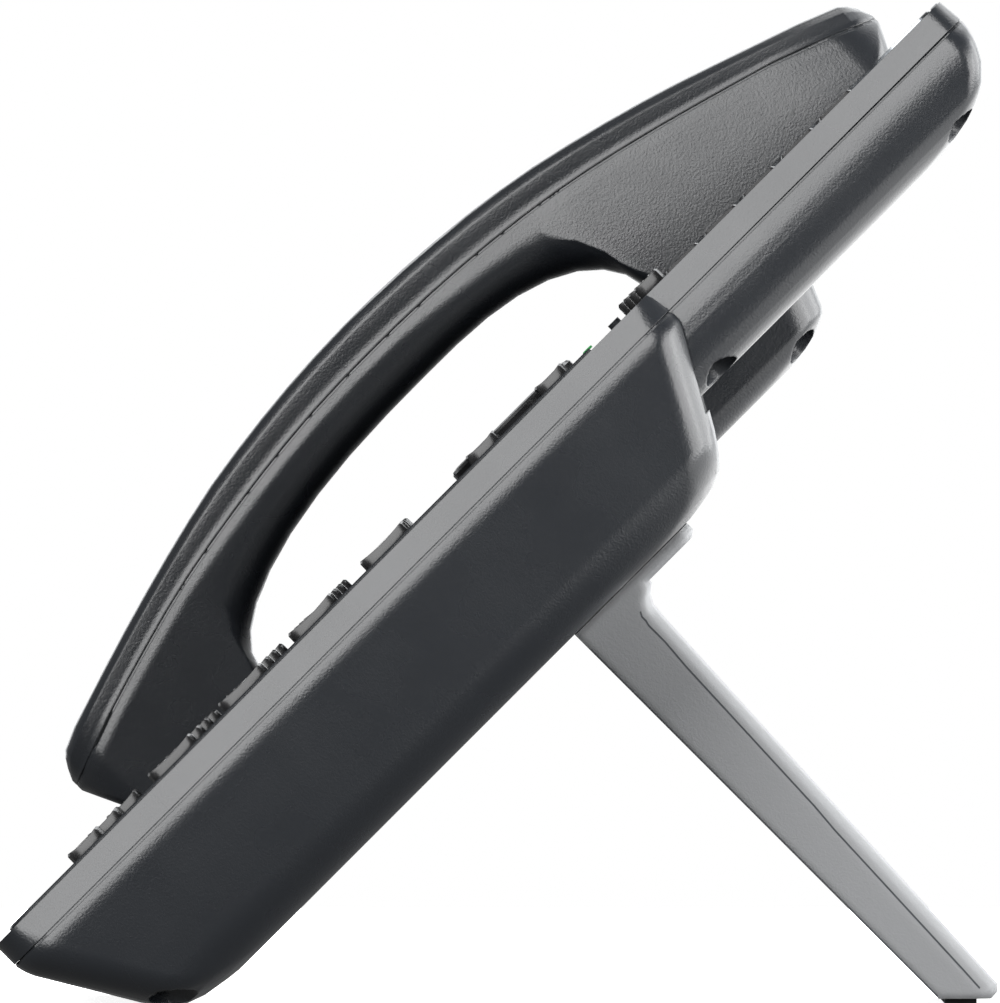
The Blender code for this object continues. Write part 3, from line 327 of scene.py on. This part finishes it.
def smoothing_group():
    """Joins the mesh's split corners and shades it smooth up to the sharp angle."""
    group = bpy.data.node_groups.new("smooth_by_angle", "GeometryNodeTree")
    group.interface.new_socket("Geometry", in_out="INPUT", socket_type="NodeSocketGeometry")
    group.interface.new_socket("Geometry", in_out="OUTPUT", socket_type="NodeSocketGeometry")
    start, end = group.nodes.new("NodeGroupInput"), group.nodes.new("NodeGroupOutput")
    joined = add(group, "GeometryNodeMergeByDistance", {
        "Geometry": start.outputs[0], "Distance": 0.001 * MM})
    bare = add(group, "GeometryNodeRemoveAttribute", {
        "Geometry": joined.outputs["Geometry"], "Name": "custom_normal"})
    faces = add(group, "GeometryNodeSetShadeSmooth", {
        "Geometry": bare.outputs["Geometry"], "Shade Smooth": True}, domain="FACE")
    angle = add(group, "GeometryNodeInputMeshEdgeAngle").outputs["Unsigned Angle"]
    edges = add(group, "GeometryNodeSetShadeSmooth", {
        "Geometry": faces.outputs["Geometry"],
        "Shade Smooth": calculate(group, "LESS_THAN", angle, SHARP_ANGLE)}, domain="EDGE")
    group.links.new(edges.outputs["Geometry"], end.inputs[0])
    return group


def finish_nodes():
    """Materials and smooth shading for every CAD node."""
    group = smoothing_group()
    for row in frame["record"]["subparts"]:
        obj = nodes[row["node"]]
        obj.material_slots[0].material = SLOT_MATERIALS[row["material_slot"]]
        obj.modifiers.new("smooth", "NODES").node_group = group
        weighted = obj.modifiers.new("weighted", "WEIGHTED_NORMAL")
        weighted.mode = "FACE_AREA"
        weighted.keep_sharp = True


# ---------------------------------------------------------------- drawing and placing pieces
def mesh_from(name, bm):
    """Mesh in the scene's frame from a face-frame drawing in mm, which is used up."""
    bmesh.ops.transform(bm, matrix=FACE_FRAME @ Matrix.Scale(MM, 4), verts=bm.verts)
    mesh = bpy.data.meshes.new(name)
    bm.to_mesh(mesh)
    bm.free()
    return mesh


def place_mesh(name, bm, mat, body):
    """Turns a face-frame drawing into a piece that rides on a body."""
    mesh = mesh_from(name, bm)
    mesh.materials.append(mat)
    obj = linked_object(name, mesh)
    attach(obj, body)
    return obj


def skin_rings(bm, rings):
    """Faces between rings of as many vertices each, and a cap at either end."""
    for first, second in zip(rings, rings[1:]):
        for i in range(len(first)):
            j = (i + 1) % len(first)
            bm.faces.new((first[i], first[j], second[j], second[i]))
    bm.faces.new(rings[0][::-1])
    bm.faces.new(rings[-1])


def lathe(bm, centre, profile, count=32):
    """Adds a turned solid about the face normal through centre from (radius, height) points."""
    skin_rings(bm, [[bm.verts.new((centre[0] + r * cos(2 * pi * i / count),
                                   centre[1] + r * sin(2 * pi * i / count), centre[2] + h))
                     for i in range(count)] for r, h in profile])


def block(bm, x0, x1, s0, s1, t0, t1):
    corners = [bm.verts.new((x, s, t)) for t in (t0, t1)
               for x, s in ((x0, s0), (x1, s0), (x1, s1), (x0, s1))]
    for face in ((3, 2, 1, 0), (4, 5, 6, 7), (0, 1, 5, 4), (1, 2, 6, 5), (2, 3, 7, 6),
                 (3, 0, 4, 7)):
        bm.faces.new([corners[i] for i in face])


def strip(bm, neighbours):
    """A face for every two neighbouring pairs of vertices."""
    for (a, b), (c, d) in neighbours:
        bm.faces.new((a, b, d, c))


def ribbon(bm, points, width, closed=False):
    """Flat line of even width through (x, s) points."""
    path = [Vector(p) for p in points]
    count = len(path)
    sides = []
    for i, here in enumerate(path):
        before = path[i - 1] if closed or i else here
        after = path[(i + 1) % count] if closed or i < count - 1 else here
        run = (after - before).normalized()
        across = Vector((-run.y, run.x)) * width / 2
        sides.append((bm.verts.new((*(here + across), 0)), bm.verts.new((*(here - across), 0))))
    strip(bm, list(zip(sides, sides[1:])) + ([(sides[-1], sides[0])] if closed else []))


def patch(bm, points):
    """Flat face with (x, s) corners."""
    bm.faces.new([bm.verts.new((x, s, 0)) for x, s in points])


def arc(cx, cs, radius, start, end, steps=14):
    """Points on a circle from one angle to another, in degrees."""
    angles = [radians(start + (end - start) * i / steps) for i in range(steps + 1)]
    return [(cx + radius * cos(a), cs + radius * sin(a)) for a in angles]


def rounded_outline(cx, cs, width, height, radius, grow=0.0):
    """Points of a rounded rectangle, all moved outwards by grow."""
    points = []
    for sx, ss, start in ((1, -1, -90), (1, 1, 0), (-1, 1, 90), (-1, -1, 180)):
        points += arc(cx + sx * (width / 2 - radius), cs + ss * (height / 2 - radius),
                      radius + grow, start, start + 90, 4)
    return points


def rounded_patch(bm, cx, cs, width, height, radius):
    patch(bm, rounded_outline(cx, cs, width, height, radius))


# ---------------------------------------------------------------- prints on the keys
PRINT_LIFT = 0.03                # prints stand this far off the surface
DIAL_SIGNS = {**{str(d): str(d) for d in range(10)}, "star": "*", "hash": "#"}
DIGIT_SIZE = 6.2
ARROW_RADIUS = 0.72              # the ring's arrows sit at this share of its radius


def print_on(node, draw, *details, prefix="print", mat=INK):
    """Draws a flat mark about the middle of a key and lays it on the key's top."""
    middle = face_centre(node)
    bm = bmesh.new()
    draw(bm, middle.x, middle.y, *details)
    surface = surface_of(node)
    for vert in bm.verts:
        hit = surface.ray_cast(Vector((vert.co.x, vert.co.y, ABOVE)), Vector((0, 0, -1)))[0]
        vert.co.z = (hit.z if hit else 0.0) + PRINT_LIFT
    bmesh.ops.recalc_face_normals(bm, faces=bm.faces)
    for face in bm.faces:
        if face.normal.z < 0:
            face.normal_flip()
    place_mesh(f"{prefix}_{node}", bm, mat, body_of_node[node])


def draw_character(bm, cx, cs, text):
    curve = bpy.data.curves.new(f"glyph_{text}", "FONT")
    curve.body, curve.size = text, DIGIT_SIZE
    curve.resolution_u = 4
    holder = linked_object(curve.name, curve)
    mesh = holder.to_mesh()
    xs, ys = [v.co.x for v in mesh.vertices], [v.co.y for v in mesh.vertices]
    shift = Vector((cx - (min(xs) + max(xs)) / 2, cs - (min(ys) + max(ys)) / 2, 0))
    verts = [bm.verts.new(v.co + shift) for v in mesh.vertices]
    for polygon in mesh.polygons:
        bm.faces.new([verts[i] for i in polygon.vertices])
    holder.to_mesh_clear()
    bpy.data.objects.remove(holder)
    bpy.data.curves.remove(curve)


def draw_envelope(bm, x, s):
    ribbon(bm, [(x - 3.2, s - 2.1), (x + 3.2, s - 2.1), (x + 3.2, s + 2.1), (x - 3.2, s + 2.1)],
           0.45, closed=True)
    ribbon(bm, [(x - 3.0, s + 1.9), (x, s - 0.5), (x + 3.0, s + 1.9)], 0.4)


def draw_pause(bm, x, s):
    for side in (-1, 1):
        rounded_patch(bm, x + 1.3 * side, s, 1.1, 4.4, 0.3)


def draw_arrows(bm, x, s):
    for side in (-1, 1):
        ribbon(bm, [(x - 3.0 * side, s + 1.1 * side), (x + 1.6 * side, s + 1.1 * side)], 0.5)
        patch(bm, [(x + 1.5 * side, s + 0.1 * side), (x + 3.4 * side, s + 1.1 * side),
                   (x + 1.5 * side, s + 2.1 * side)][::side])


def draw_loop(bm, x, s):
    ribbon(bm, arc(x, s, 2.3, 60, 350), 0.5)
    patch(bm, [(x + 1.2, s - 0.5), (x + 3.4, s - 0.5), (x + 2.3, s + 1.2)])


def draw_speaker(bm, x, s):
    patch(bm, [(x - 2.6, s - 0.8), (x - 1.5, s - 0.8), (x + 0.1, s - 2.1), (x + 0.1, s + 2.1),
               (x - 1.5, s + 0.8), (x - 2.6, s + 0.8)])
    for radius in (1.6, 2.8):
        ribbon(bm, arc(x, s, radius, -42, 42, 8), 0.42)


def draw_headset(bm, x, s):
    ribbon(bm, arc(x, s - 0.4, 2.2, 0, 180), 0.45)
    for side in (-1, 1):
        rounded_patch(bm, x + 2.2 * side, s - 1.2, 1.0, 1.9, 0.3)


def draw_bar(bm, x, s):
    rounded_patch(bm, x, s, 6.0, 0.7, 0.3)


def draw_dots(bm, x, s, count):
    for dot in range(count):
        rounded_patch(bm, x + 2.0 * (dot - (count - 1) / 2), s, 0.9, 0.9, 0.4)


def draw_minus_and_plus(bm, x, s, reach):
    for side in (-1, 1):
        at = x + side * reach
        ribbon(bm, [(at - 1.7, s), (at + 1.7, s)], 0.5)
    for side in (-1, 1):
        ribbon(bm, [(x + reach, s + 0.3 * side), (x + reach, s + 1.7 * side)], 0.5)


def draw_four_ways(bm, x, s, radius):
    for turn in range(4):
        a = turn * pi / 2
        out, side = Vector((cos(a), sin(a))), Vector((-sin(a), cos(a)))
        base = Vector((x, s)) + out * radius
        patch(bm, [tuple(base + side * 1.2), tuple(base - side * 1.2), tuple(base + out * 1.5)])


def draw_tick(bm, x, s):
    ribbon(bm, [(x - 1.6, s - 0.1), (x - 0.4, s - 1.3), (x + 1.8, s + 1.3)], 0.5)


def draw_window(bm, x, s, side):
    """Lamp window of a line key, off its middle on the given side."""
    rounded_patch(bm, x + 2.2 * side, s, 1.1, 4.6, 0.5)


def print_keys():
    """Digits on the dial keys, plain symbols on the others, lamp windows on the line keys."""
    for label, sign in DIAL_SIGNS.items():
        print_on(f"dial_key_{label}", draw_character, sign)
    for node, draw in (("message_key", draw_envelope), ("hold_key", draw_pause),
                       ("transfer_key", draw_arrows), ("redial_key", draw_loop),
                       ("speaker_key", draw_speaker), ("headset_key", draw_headset)):
        print_on(node, draw)
    for k in range(1, 5):
        print_on(f"softkey_{k}", draw_bar)
    for side in ("left", "right"):
        for k in (1, 2):
            print_on(f"{side}_function_key_{k}", draw_dots, k)
    low, high = face_box("volume_rocker")
    print_on("volume_rocker", draw_minus_and_plus, (high.x - low.x) / 2 - 6.0)
    low, high = face_box("nav_ring")
    print_on("nav_ring", draw_four_ways, ARROW_RADIUS * (high.x - low.x) / 2)
    print_on("ok_key", draw_tick)
    for side, outer in (("left", -1), ("right", 1)):
        for k in range(1, 6):
            print_on(f"line_key_{side}_{k}", draw_window, outer, prefix="lamp", mat=CLEAR_LAMP)


# ---------------------------------------------------------------- seams, and painted shade lines on the stand
SEAM_REACH = 1.1                 # a rim faces the other moulding if that is nearer than this
OPPOSED = -0.4                   # and if their normals' dot product is below this
SEAM_STEP = 0.03                 # the tongue starts this far inside the rim
SEAM_PLAY = 0.03                 # and ends this far short of the other moulding
FLANK_LEAN = 0.4                 # the mouldings' edges widen by this share of their depth

# The stand's painted shade lines run through these heights: close together round the fillet at
# the top, then every 6 mm down to the foot.
STAND_LEVELS = [-41.6 - 1.0 * k for k in range(5)] + [-49.0 - 6.0 * k for k in range(15)] + [
    -137.6]
FRONT_LINE = (0.02, 0.36)        # the front line's edges, from the stand's front outline
FRONT_LINE_TOP = -40.0           # it reaches higher than the rear line
FRONT_LINE_FOOT = 2.8            # and ends this far above the foot's lowest point
LINE_INSET, LINE_WIDTH = 2.9, 0.35       # the rear line, from the stand's rear outline
OUTLINE_START, OUTLINE_STEP = 4.0, 0.25  # search for that outline, from the front backwards


def seam_tongue(name, lower, upper, body, step=SEAM_STEP, lean=FLANK_LEAN):
    """Tongue that closes the gap between two mouldings, sloped like the flanks beside it."""
    above = surface_of(upper)
    bm = bmesh.new()
    bm.from_mesh(nodes[lower].data)
    bmesh.ops.transform(bm, matrix=Matrix.Scale(1 / MM, 4) @ to_face, verts=bm.verts)
    bmesh.ops.remove_doubles(bm, verts=bm.verts, dist=0.002)
    bm.normal_update()
    rest, gap = [], SEAM_REACH
    for face in bm.faces:
        hit, normal, _, distance = above.ray_cast(face.calc_center_median(), face.normal,
                                                  SEAM_REACH)
        if hit and normal.dot(face.normal) < OPPOSED:
            gap = min(gap, distance)
        else:
            rest.append(face)
    bmesh.ops.delete(bm, geom=rest, context="FACES")
    edge = bmesh.ops.inset_region(bm, faces=bm.faces[:], thickness=step, use_boundary=True,
                                  use_even_offset=True)["faces"]
    bmesh.ops.delete(bm, geom=edge, context="FACES")
    bmesh.ops.inset_region(bm, faces=bm.faces[:], thickness=gap * lean, depth=gap - SEAM_PLAY,
                           use_boundary=True, use_even_offset=True)
    place_mesh(name, bm, SLOT_MATERIALS["shell_plastic"], body)


def close_seams():
    """Tongues in the three seams. The handset has a second, deeper one, so no light gets by."""
    seam_tongue("base_seam", "base_rear_shell", "base_front_cover", "base")
    seam_tongue("display_seam", "display_rear_shell", "display_bezel", "display")
    seam_tongue("handset_seam", "handset_inner_shell", "handset_outer_shell", "handset")
    seam_tongue("handset_seam_back", "handset_outer_shell", "handset_inner_shell", "handset",
                step=0.3, lean=0.0)


def stand_lines():
    """Fine dark strips of painted shade along the front and the back edge of the stand's cheeks.
    """
    surface = surface_of("stand")
    low, _ = face_box("stand")

    def skin(side, s, t):
        return surface.ray_cast(Vector((side * 200.0, s, t)), Vector((-side, 0, 0)))[0]

    def rear_at(side, t):
        s = low.y + OUTLINE_START
        while skin(side, s + OUTLINE_STEP, t):
            s += OUTLINE_STEP
        return s

    for side, label in ((1, "right"), (-1, "left")):
        front = [(low.y + FRONT_LINE[0], low.y + FRONT_LINE[1], t)
                 for t in [FRONT_LINE_TOP] + STAND_LEVELS + [low.z + FRONT_LINE_FOOT]]
        rear = [(rear_at(side, t) - LINE_INSET - LINE_WIDTH, rear_at(side, t) - LINE_INSET, t)
                for t in STAND_LEVELS]
        for kind, rows in (("front", front), ("back", rear)):
            bm = bmesh.new()
            pairs = []
            for s0, s1, t in rows:
                hits = [skin(side, s, t) for s in (s0, s1)]
                if all(hits):
                    pairs.append([bm.verts.new((hit.x + side * PRINT_LIFT, s, t))
                                  for hit, s in zip(hits, (s0, s1))])
            strip(bm, zip(pairs, pairs[1:]))
            place_mesh(f"stand_{kind}_painted_shade_{label}", bm, PAINTED_EDGE_SHADE, "base")


# ---------------------------------------------------------------- screws
SCREW_HEAD, SCREW_HOLE = 2.9, 1.5                # radii of a screw's head and of its hole
RECESS_LENGTH, RECESS_WIDTH = 1.75, 0.36         # halves of each bar of the cross
BASE_WELL_INSET, BASE_WELL_RISE = 5.6, 17.0      # from the base's sides and lower edge
CRADLE_WELL = (-51.6, 188.5)
DISPLAY_WELL_INSET, DISPLAY_WELL_ROWS = 4.7, (173.4, 238.0)


def bake_modifiers(obj):
    graph = bpy.context.evaluated_depsgraph_get()
    graph.update()
    mesh = bpy.data.meshes.new_from_object(obj.evaluated_get(graph))
    obj.modifiers.clear()
    obj.data = mesh


def screw(name, node, x, s):
    """Cross-recess screw that closes the hole at the bottom of a well in a back face."""
    floor = surface_height(node, x + (SCREW_HOLE + SCREW_HEAD) / 2, s, BELOW, 1)
    bm = bmesh.new()
    shank = SCREW_HOLE - 0.2
    lathe(bm, (x, s, floor), (
        (shank, 3.0), (shank, 0.0), (SCREW_HEAD, -0.05), (SCREW_HEAD, -0.9),
        (0.93 * SCREW_HEAD, -1.35), (0.72 * SCREW_HEAD, -1.75), (0.30 * SCREW_HEAD, -1.95)))
    bmesh.ops.recalc_face_normals(bm, faces=bm.faces)
    piece = place_mesh(name, bm, SCREW_STEEL, body_of_node[node])
    cross = bmesh.new()
    for half_x, half_s in ((RECESS_LENGTH, RECESS_WIDTH), (RECESS_WIDTH, RECESS_LENGTH)):
        block(cross, x - half_x, x + half_x, s - half_s, s + half_s, floor - 3.0, floor - 0.9)
    recess = linked_object(f"{name}_recess", mesh_from(f"{name}_recess", cross))
    cut = piece.modifiers.new("recess", "BOOLEAN")
    cut.operation, cut.solver, cut.use_self, cut.object = "DIFFERENCE", "EXACT", True, recess
    bake_modifiers(piece)
    bpy.data.objects.remove(recess)


def add_screws():
    low, high = face_box("base_rear_shell")
    side = high.x - BASE_WELL_INSET
    for k, x in enumerate((-side, side), 1):
        screw(f"base_screw_{k}", "base_rear_shell", x, low.y + BASE_WELL_RISE)
    screw("cradle_screw", "base_rear_shell", *CRADLE_WELL)
    low, high = face_box("display_rear_shell")
    wells = [(x, s) for x in (low.x + DISPLAY_WELL_INSET, high.x - DISPLAY_WELL_INSET)
             for s in DISPLAY_WELL_ROWS]
    for k, (x, s) in enumerate(wells, 1):
        screw(f"display_screw_{k}", "display_rear_shell", x, s)


# ---------------------------------------------------------------- contacts and lamps
SPRING_WIDTH = 0.44
NETWORK_PITCH, HANDSET_PITCH = 1.02, 1.05
REAR_PORTS_T = -27.2                     # height of the middle of the ports in the back
NETWORK_PORT, NETWORK_STEP = 8.5, 16.5   # first port from the block's left end, and the next
HANDSET_PORT, HANDSET_STEP = 9.5, 20.0   # first port from the block's lower end, and the next
POWER_SOCKET = 8.5                       # from the block's right end
HANDSET_SPRINGS_T = (-15.5, -15.1)
CORD_SPRINGS_S, CORD_SPRINGS_T = (36.5, 42.8), (6.8, 7.2)        # in the handset's own port


def springs(name, body, centre, count, pitch, across, heights, along_x=True):
    """Row of gold springs along x or s; across and heights give each spring's other extents."""
    bm = bmesh.new()
    for k in range(count):
        at = centre + pitch * (k - (count - 1) / 2)
        width = (at - SPRING_WIDTH / 2, at + SPRING_WIDTH / 2)
        block(bm, *(width + across if along_x else across + width), *heights)
    place_mesh(name, bm, GOLD, body)


def add_network_ports(low):
    """Eight springs in each port and a lamp on either side under it."""
    for port in (1, 2):
        centre = low.x + NETWORK_PORT + NETWORK_STEP * (port - 1)
        springs(f"network_contacts_{port}", "base", centre, 8, NETWORK_PITCH,
                (low.y + 1.2, low.y + 9.5), (REAR_PORTS_T + 2.9, REAR_PORTS_T + 3.3))
        for side, label, mat in ((-1, "left", GREEN_LAMP), (1, "right", CLEAR_LAMP)):
            x = centre + 4.6 * side
            bm = bmesh.new()
            block(bm, x - 1.0, x + 1.0, low.y - 0.05, low.y + 0.3,
                  REAR_PORTS_T - 6.0, REAR_PORTS_T - 4.9)
            place_mesh(f"network_lamp_{port}_{label}", bm, mat, "base")


def add_power_pin(x, front):
    """Pin in the middle of the power socket, along s, with a chamfered end."""
    bm = bmesh.new()
    angles = [2 * pi * k / 16 for k in range(16)]
    skin_rings(bm, [[bm.verts.new((x + r * cos(a), s, REAR_PORTS_T + r * sin(a)))
                     for a in angles]
                    for s, r in ((front + 9.0, 1.0), (front + 2.2, 1.0), (front + 1.7, 0.6))])
    bmesh.ops.recalc_face_normals(bm, faces=bm.faces)
    place_mesh("power_pin", bm, SLOT_MATERIALS["pin_steel"], "base")


def add_contacts():
    """Gold springs in the ports, and the power socket's centre pin."""
    low, high = face_box("rear_jack_block")
    add_network_ports(low)
    add_power_pin(high.x - POWER_SOCKET, low.y)
    low, _ = face_box("handset_jack_block")
    for port in (1, 2):
        springs(f"handset_port_contacts_{port}", "base",
                low.y + HANDSET_PORT + HANDSET_STEP * (port - 1), 4, HANDSET_PITCH,
                (low.x + 1.0, low.x + 8.0), HANDSET_SPRINGS_T, along_x=False)
    springs("handset_cord_contacts", "handset", face_centre("handset_inner_shell").x, 4,
            HANDSET_PITCH, CORD_SPRINGS_S, CORD_SPRINGS_T)


def raised_lamp(name, node, x, s, width, height, rise, mat):
    """Lamp window standing a little proud of a CAD surface, with a chamfered rim."""
    top = surface_height(node, x, s)
    radius = min(width, height) / 2 * 0.8
    bm = bmesh.new()
    skin_rings(bm, [[bm.verts.new((a, b, top + level))
                     for a, b in rounded_outline(x, s, width, height, radius, grow)]
                    for grow, level in ((0.0, -0.3), (0.0, 0.6 * rise), (-0.25, rise))])
    place_mesh(name, bm, mat, body_of_node[node])


def add_lamps():
    raised_lamp("status_lamp", "base_front_cover", 103.5, 158.4,
                width=3.6, height=2.2, rise=0.2, mat=GREEN_LAMP)
    _, high = face_box("display_bezel")
    raised_lamp("message_lamp", "display_bezel", high.x - 22.0, high.y - 1.6,
                width=20.0, height=1.5, rise=0.3, mat=CLEAR_LAMP)


# ---------------------------------------------------------------- studio
CAMERA_LENS = 1650.0             # long enough that the side shows without perspective, mm
SENSOR = 36.0
FRAME_HEIGHT = 190.57 * MM       # what the frame's height takes in at the phone's middle
CAMERA_AIM = Vector((40.0, 0.41, 95.39)) * MM
LIGHT_DISTANCE = 2.4
UP = (0.0, 0.0, 1.0)
WHITE = (1.0, 1.0, 1.0)
BEHIND = (-0.65, 0.75, -0.35)    # the world is bright there and dark on the camera's side
DIM_TO_BRIGHT = (0.22, 2.4), (0.05, 0.45)        # its strength, and where along BEHIND
FLOOR_RADIUS = 2.0
FLOOR_GLOW = (0.2, 2.4), (0.12, 0.20)            # the floor's light, and where along world Y


def softbox(name, direction, width, height, power, upright=UP):
    """Area light that faces the phone from a direction and isn't seen itself."""
    light = bpy.data.lights.new(name, "AREA")
    light.shape, light.size, light.size_y, light.energy = "RECTANGLE", width, height, power
    obj = linked_object(name, light)
    target = (cad_low + cad_high) / 2
    back = Vector(direction).normalized()
    side = Vector(upright).cross(back).normalized()
    up = back.cross(side)
    obj.matrix_world = Matrix.Translation(target + back * LIGHT_DISTANCE) @ Matrix(
        (side, up, back)).transposed().to_4x4()
    obj.visible_camera = False


def from_side(angle):
    """Direction in the plane of the side and the face normal, an angle away from the side."""
    a = radians(angle)
    return Vector((1.0, 0.0, 0.0)) * cos(a) + FACE_NORMAL * sin(a)


def make_lights():
    """Softboxes. Edges of the side that lean towards the face's front reflect the first one."""
    softbox("key_softbox", from_side(47.0), 2.4, 1.7, 85.0, UP_THE_FACE)
    softbox("side_fill", (0.60, 0.78, 0.20), 2.0, 1.8, 72.0)
    softbox("top_softbox", (-0.35, 0.15, 1.0), 2.0, 2.0, 30.0, upright=(0.0, 1.0, 0.0))
    softbox("back_softbox", (-0.15, 1.0, 0.35), 2.6, 1.6, 60.0)


def make_world():
    """White for the camera; for the phone, dark on the camera's side and bright behind."""
    world = bpy.data.worlds.new("studio")
    bpy.context.scene.world = world
    world.use_nodes = True
    tree = world.node_tree
    tree.nodes.clear()
    place = add(tree, "ShaderNodeTexCoord").outputs["Generated"]
    along = add(tree, "ShaderNodeVectorMath", {0: place, 1: BEHIND}, operation="DOT_PRODUCT")
    strength, reach = DIM_TO_BRIGHT
    lit = add(tree, "ShaderNodeBackground", {
        "Strength": spread_to(tree, along.outputs["Value"], *strength, *reach),
        "Color": (0.97, 0.985, 1.0, 1.0)})
    plain = add(tree, "ShaderNodeBackground", {"Strength": 1.0, "Color": (*WHITE, 1.0)})
    out = tree.nodes.new("ShaderNodeOutputWorld")
    tree.links.new(camera_ray_mix(tree, lit.outputs[0], plain.outputs[0]),
                   out.inputs["Surface"])
    bpy.context.scene.view_settings.view_transform = "Standard"


def make_floor():
    """Light table: near white for the camera, and it lights the phone only from behind."""
    bm = bmesh.new()
    bmesh.ops.create_circle(bm, cap_ends=True, segments=96, radius=FLOOR_RADIUS)
    mesh = bpy.data.meshes.new("floor")
    bm.to_mesh(mesh)
    bm.free()
    mat, tree, shader = new_material("light_table", Specular_IOR_Level=0.2, Roughness=0.9,
                                     Emission_Strength=0.9, Emission_Color=(*WHITE, 1.0))
    place = add(tree, "ShaderNodeTexCoord").outputs["Object"]
    paint(tree, shader, noise(tree, place, 60.0, 4.0), (0.86, 0.86, 0.86), (0.90, 0.90, 0.90))
    back = add(tree, "ShaderNodeSeparateXYZ", {"Vector": place}).outputs["Y"]
    strength, reach = FLOOR_GLOW
    glow = add(tree, "ShaderNodeEmission", {
        "Strength": spread_to(tree, back, *strength, *reach)})
    tree.links.new(camera_ray_mix(tree, glow.outputs[0], shader.outputs[0]),
                   tree.nodes["Material Output"].inputs["Surface"])
    mesh.materials.append(mat)
    floor = linked_object("floor", mesh)


def make_camera():
    """Camera far out on the phone's right, level, with the stand on the right of the frame."""
    camera = bpy.data.cameras.new("camera")
    camera.lens, camera.sensor_width = CAMERA_LENS, SENSOR
    distance = FRAME_HEIGHT * CAMERA_LENS / SENSOR
    camera.clip_end = 2 * distance
    obj = linked_object("camera", camera)
    obj.location = CAMERA_AIM + Vector((distance, 0.0, 0.0))
    obj.rotation_euler = (radians(90.0), 0.0, radians(90.0))
    bpy.context.scene.camera = obj


finish_nodes()
print_keys()
close_seams()
stand_lines()
add_screws()
add_contacts()
add_lamps()
make_floor()
make_lights()
make_world()
make_camera()
